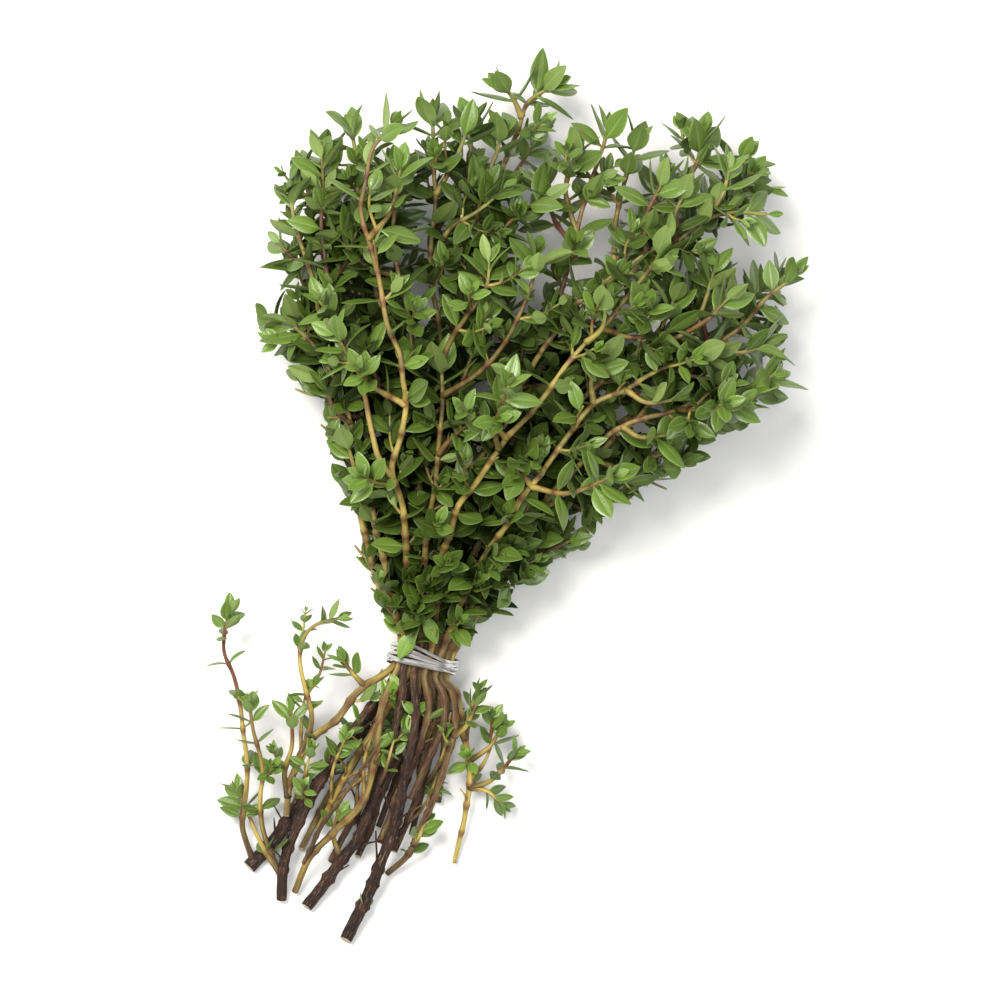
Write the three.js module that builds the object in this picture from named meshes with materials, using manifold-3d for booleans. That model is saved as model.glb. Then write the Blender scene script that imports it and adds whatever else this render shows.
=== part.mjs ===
// A bundle of cut thyme lying on its side, held by an elastic tie.
//
// Millimetres, +Z up. The bundle lies on z = 0 with its cut ends towards -Y and
// its leafy head towards +Y. Every sprig grew as one piece, so it is one solid:
// a stem from its cut end to its tip, the shoots that fork from it, and leaves
// in opposite pairs. The tie is one solid that goes round all the sprigs.
import * as THREE from "three";
import { mergeVertices } from "three/addons/utils/BufferGeometryUtils.js";
import Module from "manifold-3d";

const wasm = await Module();
wasm.setup();

// ---------------------------------------------------------------- dimensions

// The throat is the place where the tie pulls the sprigs together. Its section
// is an ellipse that lies across the bundle, turned a little in the plan view.
const THROAT = new THREE.Vector3(-16.5, -31.5, 10);
const THROAT_TURN = THREE.MathUtils.degToRad(-15.4);
const SLOT_PITCH = 2.2; // from one stem's centre to the next in the throat
const ROW_PITCH = SLOT_PITCH * Math.sin(Math.PI / 3);
const THROAT_RADIUS = 0.93; // of each main stem inside the tie
const TIP_RADIUS = 0.42; // of each main stem at its last leaves

const SHOOT_RADIUS = 0.5; // where a shoot leaves its stem
const SHOOT_TIP_RADIUS = 0.3;
const STEM_SIDES = 5;
const SHOOT_SIDES = 4; // a young thyme stem is square
const STEM_STEP = 12; // length of stem for each ring of the mesh
const SHOOT_STEP = 12;
const THROAT_LENGTH = 6; // of the straight run of each stem through the tie

const FINEST_DETAIL = 0.06; // smaller steps where a leaf meets its stem are smoothed away

const LEAF_LENGTH = 7.6;
const LEAF_WIDTH = 4;
const LEAF_THICK = 0.7;
const LEAF_TILT = THREE.MathUtils.degToRad(48); // from the stem to the leaf
const LEAF_TURN = 0.6; // how far a leaf's face turns from its stem to the light
const LEAF_ROOM = 1.12; // how much larger a place a leaf needs than itself
const PAIR_STEP = 24; // between the leaf pairs of a main stem
const FLOOR_CLEARANCE = 0.4; // of the lowest stems above the surface

const TWIG_LEAN = 0.62; // share of a twig's direction that points away from its stem
const TWIG_RISE = 0.45; // share of a twig's spread that points up or down

const TIE_TURNS = [
  // Each turn of the tie: its tilt in plan and in side view, in degrees, and
  // how far it sits along the bundle.
  { plan: 5, side: -5, along: 1.1 },
  { plan: -1, side: 4, along: 0.2 },
  { plan: -4, side: 0, along: -0.9 },
];
const TIE_STRAND = 0.55; // radius of the strand
const TIE_CLEARANCE = 0.3; // between the strand and the outermost stems

// ------------------------------------------------------------------- sprigs
//
// Each sprig: its slot in the throat as [row, place], rows 2 (top) to -2
// (bottom) and places counted from the left; its radius at the cut end; the
// points that it passes below the throat, from the cut end up; the points above
// it, up to the tip; its shoots; and its side twigs, each as the share of the
// head's length at which it leaves, its turn round the stem in degrees, and its
// length. A shoot's first point is moved onto its stem.

const SPRIGS = [
  {
    slot: [2, 0], cut: 1.6, twigs: [[0.49, 0, 21], [0.79, 138, 16]],
    below: [[-40.5, -82.3, 2.3], [-33, -72.5, 5], [-27, -62, 8.5], [-23, -50, 12], [-20.8, -40, 14]],
    above: [[-20.5, -21, 18], [-19.6, -11, 24], [-20.2, -2, 29], [-22.3, 5, 32], [-21.3, 12, 34],
      [-19.6, 20, 36.5], [-20.5, 28, 38.5], [-23, 36, 39.5], [-25, 46, 39.5], [-28.2, 57, 39],
      [-27.6, 64, 39], [-26.3, 69.5, 38.5], [-22.5, 75, 37.5]],
    shoots: [
      [[-22.3, 5, 32], [-24.6, 8.5, 33], [-26.6, 15, 33.5], [-28.5, 23, 33], [-31.5, 31, 32.5],
        [-34.3, 41, 32], [-36.2, 52, 31.5], [-36.2, 62, 31], [-36.5, 69, 30]],
      [[-33, -72.5, 5], [-34.8, -67.5, 6], [-33.4, -62.5, 7.6]],
    ],
  },
  {
    slot: [2, 1], cut: 1.7, twigs: [[0.64, 178, 21]],
    below: [[-32.5, -89, 2.4], [-27, -77.5, 5.5], [-22.5, -66, 9], [-20.3, -56, 12.5], [-18.3, -44, 14.8]],
    above: [[-17.4, -20, 20], [-15.8, -8, 26], [-14, 4, 30.5], [-13, 13, 32.5], [-12.2, 21, 33.5],
      [-12.8, 28, 34.5]],
    shoots: [
      [[-12.2, 21.3, 34], [-5.6, 25.5, 37.5], [-1, 30.5, 39.5], [2.8, 37, 40.5], [5.2, 43, 40.5], [6.2, 48.5, 39.5]],
      [[-12.8, 28, 34.5], [-10.8, 32.5, 37], [-7, 37.3, 39.5], [-3.8, 42.6, 41], [-3.2, 48, 40.5]],
      [[-13.3, 10, 32], [-10.2, 13.4, 35], [-7.2, 15.6, 37]],
    ],
  },
  {
    slot: [2, 2], cut: 1.3, twigs: [[0.49, 80, 21], [0.79, 218, 16]],
    below: [[-25.5, -69, 4], [-22, -60, 6.8], [-17.4, -49, 12.3], [-15.4, -40, 13.7]],
    above: [[-13.8, -20, 20], [-12, -9, 27], [-9.5, -1.5, 31], [-4.4, 6, 34.5], [0.5, 12.5, 37],
      [6, 19.5, 39], [12, 27, 40.5], [18, 33.8, 41], [25, 42, 40.5], [29.4, 47.5, 39], [32, 52, 37.5]],
    shoots: [
      [[16, 31.5, 41], [19, 34.5, 43], [20, 39.5, 44]],
      [[0.5, 12.5, 37], [-1.6, 15.5, 39.5], [-0.8, 20, 41]],
    ],
  },
  {
    slot: [2, 3], cut: 1.1, twigs: [[0.49, 120, 21], [0.79, 258, 16]],
    below: [[-19.2, -60, 9.6], [-16.2, -53.5, 11.8], [-12.8, -45, 13.6], [-12.4, -38.5, 14.4]],
    above: [[-9.2, -21, 19], [-4, -10.5, 26], [1, -3, 30], [5, 3.4, 33], [9, 9.3, 35],
      [13, 14.8, 36.5], [17.5, 20, 37.5], [24, 22.7, 38], [29, 25.6, 37.5], [33.5, 27.8, 36.5], [41, 29, 35]],
    shoots: [
      [[17.5, 20, 37.5], [17.4, 25, 39.5], [20.2, 29.5, 40.5]],
      [[5, 3.4, 33], [3.2, 7, 36], [5.6, 11, 38]],
      [[24, 22.7, 38], [28, 20, 40], [33, 20.5, 41]],
    ],
  },
  {
    slot: [1, 0], cut: 1.15, twigs: [[0.49, 298, 21], [0.79, 298, 16]],
    below: [[-42.8, -79.2, 2.2], [-40, -72.5, 5.8], [-34.5, -67, 9], [-29, -60.5, 12.5], [-26.4, -51, 14.5],
      [-24.9, -41, 14.6]],
    above: [[-22.6, -21, 16.5], [-24.6, -10, 20], [-27.3, 3, 23.5], [-31, 16, 26], [-34.4, 26, 27], [-38, 31.5, 27.5],
      [-43, 36.5, 27]],
    shoots: [
      [[-31, 16, 26], [-34, 19, 27.5], [-35.5, 23, 28]],
      [[-27.3, 3, 23.5], [-30, 8, 27.5], [-31.5, 12.5, 28.5]],
    ],
  },
  {
    slot: [1, 1], cut: 1, twigs: [[0.49, 201, 21], [0.79, 338, 16]],
    below: [[-38, -66.5, 4], [-33, -57, 8], [-27, -46.5, 10.4], [-21.5, -37.5, 11.3]],
    above: [[-18.4, -20, 15.5], [-17.6, -5, 21], [-17, 10, 26], [-17.5, 25, 30], [-19.8, 40, 33], [-21.8, 50, 33],
      [-21.8, 57, 33], [-21, 66, 32]],
    shoots: [],
  },
  {
    slot: [1, 2], cut: 1.1, twigs: [[0.49, 241, 21], [0.79, 18, 16]],
    below: [[-30, -72, 2.5], [-25, -60, 5.5], [-20, -47, 9.5], [-17.6, -38, 11.8]],
    above: [[-14.6, -19, 15.5], [-10.5, -4, 21], [-4, 11, 26], [5, 27, 30], [15, 40, 33], [25.5, 48, 34],
      [34, 52, 34], [40, 56.2, 34], [46, 57.5, 33], [52, 57.5, 31.5]],
    shoots: [
      [[34, 52, 34], [33.6, 57, 36], [35.6, 62, 36.5]],
      [[40, 56.2, 34], [43, 61.5, 35.5], [44.5, 66, 35]],
    ],
  },
  {
    slot: [1, 3], cut: 1.05, twigs: [[0.49, 281, 21], [0.79, 196, 16]],
    below: [[-22.5, -71, 3], [-18, -60, 6.5], [-15.8, -47, 10.2], [-14.6, -38, 11.5]],
    above: [[-10.8, -20, 15.5], [-4.2, -6, 21.5], [5, 7, 27], [16, 21, 31], [27, 30, 33.8], [35.6, 34.3, 35.5],
      [39.4, 39, 35.5], [41, 46, 35]],
    shoots: [
      [[35.6, 34.3, 35.5], [40, 36.5, 38], [44, 40.5, 39]],
      [[27, 30, 33.8], [31, 35, 36.5], [33.2, 40, 38]],
    ],
  },
  {
    slot: [1, 4], cut: 1, twigs: [[0.49, 321, 21], [0.79, 98, 16]],
    below: [[-24, -75.5, 2.4], [-20, -71.6, 5.5], [-17.3, -66, 8], [-14.5, -60, 10.5], [-11.6, -52, 12.2],
      [-10.2, -44, 12.6], [-10.6, -38, 12]],
    above: [[-8.6, -25, 14.5], [-5.8, -18, 18], [0.5, -8.5, 22.5], [9, 1.5, 26], [17, 10, 29.5], [23, 15.5, 31],
      [31, 17.6, 32], [38, 20.5, 32], [46.5, 22.5, 31], [53, 25.5, 30]],
    shoots: [
      [[38, 20.5, 32], [43, 18.5, 33.5], [47, 19.5, 34]],
      [[23, 15.5, 31], [27, 13, 33], [32, 13.5, 34]],
    ],
  },
  {
    slot: [0, 0], cut: 1.1, twigs: [[0.49, 1, 21], [0.79, 138, 16]],
    below: [[-44.4, -63.5, 6.2], [-43.4, -56, 8.2], [-40, -48.8, 10.2], [-33.5, -42.8, 12], [-28, -37, 12]],
    above: [[-25.4, -17, 12], [-28.8, -3, 15], [-32, 11, 18], [-34.6, 24, 21.5], [-36.5, 35, 25.5], [-38.6, 45, 28.5],
      [-41.8, 55, 29.5], [-43, 61.5, 29]],
    shoots: [
      [[-43.9, -59.4, 7.4], [-44.8, -54.5, 9.5], [-43, -49, 11.5], [-43, -42, 12]],
      [[-41.5, -51.5, 9], [-39.2, -43.5, 13], [-40.3, -37, 14.5], [-41.2, -31, 15.5], [-40, -26, 16.5],
        [-38.2, -24.2, 17], [-33.6, -23, 16]],
      [[-28.3, -37.3, 12], [-30.2, -34.6, 14], [-32.5, -31.5, 15]],
    ],
  },
  {
    slot: [0, 1], cut: 1.4, twigs: [[0.49, 41, 21], [0.79, 316, 16]],
    below: [[-45.6, -80.8, 1.9], [-44.4, -71, 5.4], [-41, -62.5, 7.6], [-33.5, -50.5, 9.6], [-25.6, -39.5, 10.4]],
    above: [[-21.8, -17, 12.5], [-24.4, -2, 16.5], [-27.8, 14, 20], [-31.4, 30, 23.5], [-35, 45, 25.5],
      [-38.4, 57, 25.5], [-40.8, 67, 25]],
    shoots: [
      [[-45, -76, 3.2], [-48.3, -69, 5.5], [-49.7, -60, 8], [-48.8, -54, 10], [-50.8, -46, 12], [-51.6, -40.5, 13]],
      [[-45, -76, 3.2], [-48.8, -70.2, 5.6], [-52, -64, 3.4], [-54.8, -58.5, 2.6]],
    ],
  },
  {
    slot: [0, 2], cut: 1.1, twigs: [[0.49, 81, 21], [0.79, 219, 16]],
    below: [[-35.5, -73, 1.9], [-31, -64, 4.5], [-25, -51, 8], [-20.2, -39.5, 10]],
    above: [[-18.6, -17, 12.5], [-19.6, -2, 16.5], [-21.2, 15, 20.5], [-24, 33, 24], [-27.2, 50, 26.5],
      [-29.4, 64, 27], [-30.4, 74.5, 26.5]],
    shoots: [],
  },
  {
    slot: [0, 3], cut: 1, twigs: [[0.49, 36, 21], [0.79, 259, 16]],
    below: [[-25.8, -66, 1.8], [-22, -56, 4.2], [-18.2, -45, 7.6], [-16, -37.5, 9.4]],
    above: [[-14.4, -17, 12.5], [-12.8, -2, 16.5], [-12, 15, 20.5], [-12.6, 32, 24], [-14.8, 47, 26], [-14, 60, 27],
      [-14.8, 77, 27]],
    shoots: [
      [[-14.8, 47, 26], [-10.8, 54.5, 29.5], [-5, 58.3, 31.5], [-0.6, 62, 32]],
      [[-13.8, 62, 27], [-10.2, 68, 29], [-7.5, 75, 29]],
    ],
  },
  {
    slot: [0, 4], cut: 1, twigs: [[0.49, 161, 21], [0.79, 299, 16]],
    below: [[-19, -67.5, 1.8], [-16.6, -58, 4.2], [-14, -46, 8], [-12.8, -38.5, 9.7]],
    above: [[-9.8, -18, 12.5], [-4.6, -3, 17], [1.8, 13, 21.5], [8, 30, 25], [12.5, 46, 27.5], [16, 60, 28.5],
      [20.5, 74.5, 28]],
    shoots: [
      [[4.8, 22, 23.4], [-1, 34, 26], [-4, 46, 28.5], [-1, 53.5, 30.5], [3.4, 58.4, 31.5], [8, 61, 31.5]],
      [[14.5, 54, 28], [12, 62, 29.5], [14.5, 70, 30]],
    ],
  },
  {
    slot: [0, 5], cut: 0.75, twigs: [[0.49, 201, 21], [0.79, 339, 16]],
    below: [[-10.3, -73.3, 1.4], [-7.6, -63, 3.6], [-7.5, -53, 6.4], [-9, -45, 8.6], [-9.9, -38.5, 9.6]],
    above: [[-5.6, -22, 12.5], [2.2, -9, 16.5], [12, 3, 20.5], [22, 13, 24], [32, 22.5, 26.5], [41.5, 30.8, 27.5],
      [47.5, 35.4, 27.5], [52, 40.4, 27], [57.5, 45.5, 26.5]],
    shoots: [
      [[-8.4, -48, 7.8], [-7, -42, 10.5], [-5.8, -37.5, 11.5]],
      [[-7.6, -57.6, 5.2], [-3.6, -56.6, 7.5], [0, -53.6, 9], [2.4, -50.8, 10]],
      [[42.5, 31.5, 27.5], [47, 30, 28.8], [52, 31.6, 29]],
    ],
  },
  {
    slot: [-1, 0], cut: 1.9, twigs: [[0.49, 19, 21], [0.79, 19, 16]],
    below: [[-52.2, -74.2, 2], [-45.6, -66.6, 2.5], [-37.6, -56.6, 4.2], [-30, -46.5, 6.2], [-24.6, -38.4, 7.6]],
    above: [[-23.4, -17, 8.5], [-26.6, -2, 11], [-30, 13, 13.5], [-34, 27, 16], [-38.4, 39, 18], [-42.4, 48, 19]],
    shoots: [
      [[-51.4, -73.3, 2.6], [-53.4, -66, 5], [-52.2, -56, 7.5], [-53, -47, 9.5], [-53.6, -39.5, 11],
        [-54.7, -35.3, 12], [-56.9, -30, 13.5], [-56.5, -25, 14.5], [-55.5, -21.8, 14.5]],
      [[-30, 13, 13.5], [-35.5, 22, 15], [-41, 28.5, 17]],
    ],
  },
  {
    slot: [-1, 1], cut: 1, twigs: [[0.49, 59, 21], [0.79, 197, 16]],
    below: [[-41.5, -70.5, 1.7], [-35.4, -59.4, 3], [-27.4, -47, 5.4], [-21.8, -38.5, 7.2]],
    above: [[-20, -15, 9], [-21.4, 3, 12], [-24, 22, 15.5], [-28, 41, 18.5], [-32.6, 57, 20.5], [-36.6, 70, 21]],
    shoots: [],
  },
  {
    slot: [-1, 2], cut: 1, twigs: [[0.49, 322, 21], [0.79, 99, 16]],
    below: [[-31, -65.5, 1.5], [-26.8, -56, 2.8], [-21, -44, 5.4], [-17.6, -37.5, 7]],
    above: [[-15.2, -14, 9.5], [-12.4, 5, 13], [-9.8, 24, 16.5], [-8.4, 43, 19.5], [-8, 60, 21.5], [-6.8, 76, 22]],
    shoots: [[[-8, 60, 21.5], [-3, 67, 23], [-0.5, 74, 24]]],
  },
  {
    slot: [-1, 3], cut: 1, twigs: [[0.49, 2, 21], [0.79, 139, 16]],
    below: [[-22, -64, 1.7], [-18.4, -53, 3.4], [-15.4, -43, 6], [-14.3, -37.5, 7.2]],
    above: [[-10.4, -16, 9.5], [-3.4, 0, 13], [4.6, 18, 16.5], [13, 35, 19.5], [22, 49, 21.5], [31.6, 60, 22.5],
      [37.8, 67, 23], [39.4, 74, 23]],
    shoots: [[[22, 49, 21.5], [22.5, 58, 24], [24.5, 66, 25], [26.5, 72, 25]]],
  },
  {
    slot: [-1, 4], cut: 1, twigs: [[0.49, 42, 21], [0.79, 180, 16]],
    below: [[-13.5, -61, 1.7], [-13, -52, 4], [-12, -43, 6.4], [-11.8, -38, 7.4]],
    above: [[-6.6, -20, 9.5], [1.2, -8, 11.5], [12, 0.5, 14], [23.6, 7, 16.5], [32.4, 11, 18.5], [40, 16.4, 19.5],
      [46, 22, 19.5]],
    shoots: [
      [[1.2, -8, 11.5], [7.6, -9.6, 13.5], [13, -7.6, 15]],
      [[12, 0.5, 14], [17.6, -1.4, 15.5], [22, 1.4, 17]],
      [[23.6, 7, 16.5], [30, 5.4, 18.5], [35.6, 7.6, 20]],
    ],
  },
  {
    slot: [-2, 0], cut: 1, twigs: [[0.49, 220, 21], [0.79, 220, 16]],
    below: [[-33.6, -58, 1.2], [-28.2, -48.5, 2.2], [-23, -39, 4.4]],
    above: [[-22, -14, 5.4], [-23.6, 4, 6.6], [-26, 22, 8.6], [-29.4, 40, 10.6], [-33, 54, 12], [-35.6, 64, 13]],
    shoots: [],
  },
  {
    slot: [-2, 1], cut: 0.9, twigs: [[0.49, 260, 21], [0.79, 260, 16]],
    below: [[-25, -54, 1], [-22.3, -46.5, 2.6], [-18.9, -38, 4.8]],
    above: [[-17, -12, 5.6], [-15.2, 8, 7.4], [-12, 28, 10], [-8, 46, 12.5], [-3, 62, 14.5], [2.4, 75, 16],
      [4.2, 80.6, 17], [9.4, 83.6, 18]],
    shoots: [[[3.2, 78, 16.5], [1.4, 82, 18], [-0.4, 84, 19]]],
  },
  {
    slot: [-2, 2], cut: 1, twigs: [[0.49, 162, 21], [0.79, 300, 16]],
    below: [[-21, -56, 1.6], [-17.6, -46, 3], [-15.4, -38, 4.8]],
    above: [[-11.4, -14, 5.6], [-3.4, 4, 7.4], [6.4, 21, 9.6], [17.4, 37, 11.8], [29, 50, 13.6], [39, 60, 15],
      [47.4, 69.6, 16]],
    shoots: [[[39, 60, 15], [46.6, 62.6, 17], [53, 63.6, 18]]],
  },
  {
    slot: [-2, 3], cut: 1, twigs: [[0.49, 202, 21], [0.79, 340, 16]],
    below: [[-16, -55, 1.6], [-14, -46, 3.4], [-13, -38.6, 5]],
    above: [[-8, -19, 5.6], [0, -6.6, 7.2], [11, 5, 9], [24, 17, 11], [36, 27, 13], [45.6, 35.6, 15], [51.6, 43, 16.5]],
    shoots: [
      [[0, -6.6, 7.2], [5, -11, 8], [8.6, -12.6, 9]],
      [[45.6, 35.6, 15], [52, 33, 16.5], [57, 33.6, 18]],
      [[24, 17, 11], [33, 17.6, 12], [42, 21, 13], [52, 22.6, 15]],
    ],
  },
];

// ---------------------------------------------------------------- materials

const STEM_AND_LEAF = new THREE.MeshStandardMaterial({ color: "#5d7a3a", roughness: 0.62, metalness: 0, flatShading: true });
const CLEAR_ELASTIC = new THREE.MeshStandardMaterial({ color: "#d9d6d3", roughness: 0.35, metalness: 0 });

// ------------------------------------------------------------------ helpers

const LIGHT = new THREE.Vector3(0, 0, 1);
const vector = ([x, y, z]) => new THREE.Vector3(x, y, z);

// A closed three.js geometry as a solid that can be joined or tested.
function solid(geometry) {
  const bare = new THREE.BufferGeometry().setAttribute("position", geometry.getAttribute("position"));
  bare.setIndex(geometry.index);
  const merged = mergeVertices(bare, 1e-4);
  return new wasm.Manifold(
    new wasm.Mesh({
      numProp: 3,
      vertProperties: merged.attributes.position.array,
      triVerts: new Uint32Array(merged.index.array),
    }),
  );
}

// A joined solid back as a geometry.
function geometryOf(manifold) {
  const mesh = manifold.getMesh();
  const geometry = new THREE.BufferGeometry();
  geometry.setAttribute("position", new THREE.BufferAttribute(new Float32Array(mesh.vertProperties), 3));
  geometry.setIndex(new THREE.BufferAttribute(new Uint32Array(mesh.triVerts), 1));
  return geometry;
}

// Two directions square to a stem's tangent: one level, one in the upright plane.
function acrossOf(tangent) {
  const level = new THREE.Vector3(0, 0, 1).cross(tangent).normalize();
  return { level, upright: new THREE.Vector3().crossVectors(tangent, level) };
}

// A smooth curve through the points, cut into straight lengths of about one size.
// It has a corner at each share of its length that is named.
function lineThrough(points, step, named = []) {
  const curve = new THREE.CatmullRomCurve3(points, false, "centripetal");
  const ends = [0, ...named.map((point) => nearestOn(curve, point)), 1];
  const shares = [0];
  for (let i = 1; i < ends.length; i++) {
    const span = ends[i] - ends[i - 1];
    const lengths = Math.max(1, Math.round((span * curve.getLength()) / step));
    for (let j = 1; j <= lengths; j++) shares.push(ends[i - 1] + (span * j) / lengths);
  }
  return { curve, shares, corners: shares.map((share) => curve.getPointAt(Math.min(1, share))) };
}

// Where on a curve a point lies closest, as a share of the curve's length.
function nearestOn(curve, point) {
  const steps = 600;
  let best = 0;
  let least = Infinity;
  for (let i = 0; i <= steps; i++) {
    const gap = curve.getPointAt(i / steps).distanceTo(point);
    if (gap < least) [best, least] = [i / steps, gap];
  }
  return best;
}

// The point of a line at a share of its length.
function pointOn({ shares, corners }, at) {
  const i = Math.max(1, shares.findIndex((share) => share >= at - 1e-9));
  const within = (at - shares[i - 1]) / (shares[i] - shares[i - 1]);
  return corners[i - 1].clone().lerp(corners[i], within);
}

// A tapered tube: a cylinder with one ring of corners at each corner of the line.
function stemSolid({ curve, shares, corners }, radiusAt, sides) {
  const geometry = new THREE.CylinderGeometry(1, 1, 1, sides, corners.length - 1);
  const position = geometry.getAttribute("position");
  for (let i = 0; i < position.count; i++) {
    const ring = Math.round((position.getY(i) + 0.5) * (corners.length - 1));
    const radius = radiusAt(shares[ring]);
    const { level, upright } = acrossOf(curve.getTangentAt(Math.min(1, shares[ring])));
    const point = corners[ring].clone()
      .addScaledVector(level, radius * position.getX(i))
      .addScaledVector(upright, -radius * position.getZ(i));
    position.setXYZ(i, point.x, point.y, point.z);
  }
  return solid(geometry);
}

// A leaf blade: a thin lens with a six-sided outline, its foot at the given point.
function leafSolid(foot, along, upward, scale, room = 1) {
  const geometry = new THREE.SphereGeometry(0.5, 6, 2);
  geometry.rotateX(Math.PI / 2).rotateZ(Math.PI / 2);
  geometry.scale(LEAF_WIDTH * room, LEAF_LENGTH, LEAF_THICK * room * (room > 1 ? 2 : 1));
  geometry.translate(0, LEAF_LENGTH / 2, 0);
  const across = new THREE.Vector3().crossVectors(along, upward).normalize();
  const normal = new THREE.Vector3().crossVectors(across, along);
  const place = new THREE.Matrix4().makeBasis(across, along, normal);
  geometry.scale(scale, scale, scale).applyMatrix4(place.setPosition(foot));
  return solid(geometry);
}

// --------------------------------------------------------------- the sprigs

// The slot's own point in the throat.
function slotPoint([row, place]) {
  const inRow = 6 - Math.abs(row);
  const across = (place - (inRow - 1) / 2) * SLOT_PITCH;
  return new THREE.Vector3(across, 0, row * ROW_PITCH)
    .applyAxisAngle(new THREE.Vector3(0, 0, 1), THROAT_TURN)
    .add(THROAT);
}

// The sprig's centre lines: its stem, and its shoots and twigs.
function linesOf(sprig) {
  const slot = slotPoint(sprig.slot);
  const axis = new THREE.Vector3(-Math.sin(THROAT_TURN), Math.cos(THROAT_TURN), 0);
  const inside = [-0.5, 0, 0.5].map((share) => slot.clone().addScaledVector(axis, share * THROAT_LENGTH));
  const points = [...sprig.below.map(vector), ...inside, ...sprig.above.map(vector)];
  const stem = lineThrough(points, STEM_STEP, [inside[0], inside[2]]);
  const throatAt = nearestOn(stem.curve, slot);
  const shoots = sprig.shoots.map((route) => {
    const [first, ...rest] = route.map(vector);
    return lineThrough([pointOn(stem, nearestOn(stem.curve, first)), ...rest], SHOOT_STEP);
  });
  const twigs = sprig.twigs.map(([share, degrees, length]) =>
    twigCurve(stem, THREE.MathUtils.lerp(throatAt, 1, share), THREE.MathUtils.degToRad(degrees), length));
  return { stem, throatAt, shoots: [...shoots, ...twigs] };
}

// A side twig leaves its stem sideways and then bends towards the stem's own way.
function twigCurve(stem, at, turn, length) {
  const start = pointOn(stem, at);
  const tangent = stem.curve.getTangentAt(at);
  const { level, upright } = acrossOf(tangent);
  const away = level.multiplyScalar(Math.cos(turn)).addScaledVector(upright, TWIG_RISE * Math.sin(turn)).normalize();
  const out = tangent.clone().multiplyScalar(1 - TWIG_LEAN).addScaledVector(away, TWIG_LEAN).normalize();
  const middle = start.clone().addScaledVector(out, length * 0.45);
  const end = middle.clone().addScaledVector(out.lerp(tangent, 0.45).normalize(), length * 0.55);
  const lowest = SHOOT_RADIUS + FLOOR_CLEARANCE;
  middle.z = Math.max(middle.z, lowest);
  end.z = Math.max(end.z, lowest + 1);
  return lineThrough([start, middle, end], SHOOT_STEP);
}

const shootRadius = (along) => THREE.MathUtils.lerp(SHOOT_RADIUS, SHOOT_TIP_RADIUS, along);

// The bare wood of one sprig, joined.
function woodOf(sprig, { stem, throatAt, shoots }) {
  const radiusAt = (along) =>
    along < throatAt
      ? THREE.MathUtils.lerp(sprig.cut, THROAT_RADIUS, Math.min(1, along / (throatAt * 0.85)))
      : THREE.MathUtils.lerp(THROAT_RADIUS, TIP_RADIUS, (along - throatAt) / (1 - throatAt));
  return wasm.Manifold.union([
    stemSolid(stem, radiusAt, STEM_SIDES),
    ...shoots.map((line) => stemSolid(line, shootRadius, SHOOT_SIDES)),
  ]);
}

// The places of a sprig's leaves: pairs along the stem's head, and the last pair
// of the stem and of each shoot.
function leafPlaces({ stem, throatAt, shoots }) {
  const places = [];
  const pair = (line, at, quarterTurn, scale, tilt) => {
    const foot = pointOn(line, at);
    const tangent = line.curve.getTangentAt(at);
    const { level, upright } = acrossOf(tangent);
    const out = quarterTurn ? upright : level;
    for (const side of [-1, 1]) {
      const along = tangent.clone().multiplyScalar(Math.cos(tilt)).addScaledVector(out, side * Math.sin(tilt));
      places.push({ foot, along, upward: tangent.clone().lerp(LIGHT, LEAF_TURN), scale });
    }
  };
  const headLength = stem.curve.getLength() * (1 - throatAt);
  const pairs = Math.floor(headLength / PAIR_STEP);
  for (let i = 1; i < pairs; i++) pair(stem, throatAt + ((1 - throatAt) * i) / pairs, i % 2 === 1, 1, LEAF_TILT);
  pair(stem, 0.985, false, 1, LEAF_TILT / 2);
  for (const line of shoots) pair(line, 0.95, false, 0.9, LEAF_TILT / 1.6);
  return places;
}

// ------------------------------------------------------------------ the tie

// One turn of the tie is a ring, a little tilted.
function tieTurn({ plan, side, along }) {
  const radius = 2.5 * SLOT_PITCH + THROAT_RADIUS + TIE_CLEARANCE + TIE_STRAND;
  const ring = new THREE.TorusGeometry(radius, TIE_STRAND, 5, 20);
  ring.rotateX(Math.PI / 2 + THREE.MathUtils.degToRad(side));
  ring.rotateZ(THREE.MathUtils.degToRad(plan));
  ring.translate(0, along, 0);
  return solid(ring);
}

function makeTie() {
  const tie = new THREE.Mesh(geometryOf(wasm.Manifold.union(TIE_TURNS.map(tieTurn))), CLEAR_ELASTIC);
  tie.name = "elastic_tie";
  tie.position.copy(THROAT);
  tie.rotation.z = THROAT_TURN;
  return tie;
}

// --------------------------------------------------------------- the bundle

const tie = makeTie();
tie.updateMatrixWorld();
const tieSolid = solid(tie.geometry.clone().applyMatrix4(tie.matrixWorld));

const lines = SPRIGS.map(linesOf);
const sprigSolids = SPRIGS.map((sprig, i) => woodOf(sprig, lines[i]));
const isFree = (shape, i) =>
  shape.boundingBox().min[2] > 0.05 &&
  [tieSolid, ...sprigSolids].every((other, j) => j === i + 1 || other.intersect(shape).isEmpty());

// Leaves grow where no other sprig is in the way.
lines.forEach((line, i) => {
  const leaves = leafPlaces(line)
    .filter(({ foot, along, upward, scale }) => isFree(leafSolid(foot, along, upward, scale, LEAF_ROOM), i))
    .map(({ foot, along, upward, scale }) => leafSolid(foot, along, upward, scale));
  const grown = wasm.Manifold.union([sprigSolids[i], ...leaves]).simplify(FINEST_DETAIL);
  // Touching leaves can shut in a little air: only the outer skin is kept.
  sprigSolids[i] = grown.decompose().sort((a, b) => b.volume() - a.volume())[0];
});

const bundle = new THREE.Group();
SPRIGS.forEach((sprig, i) => {
  const slot = slotPoint(sprig.slot);
  const mesh = new THREE.Mesh(geometryOf(sprigSolids[i]).translate(-slot.x, -slot.y, -slot.z), STEM_AND_LEAF);
  mesh.name = `sprig_${String(i + 1).padStart(2, "0")}`;
  mesh.position.copy(slot);
  bundle.add(mesh);
});
bundle.add(tie);

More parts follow.
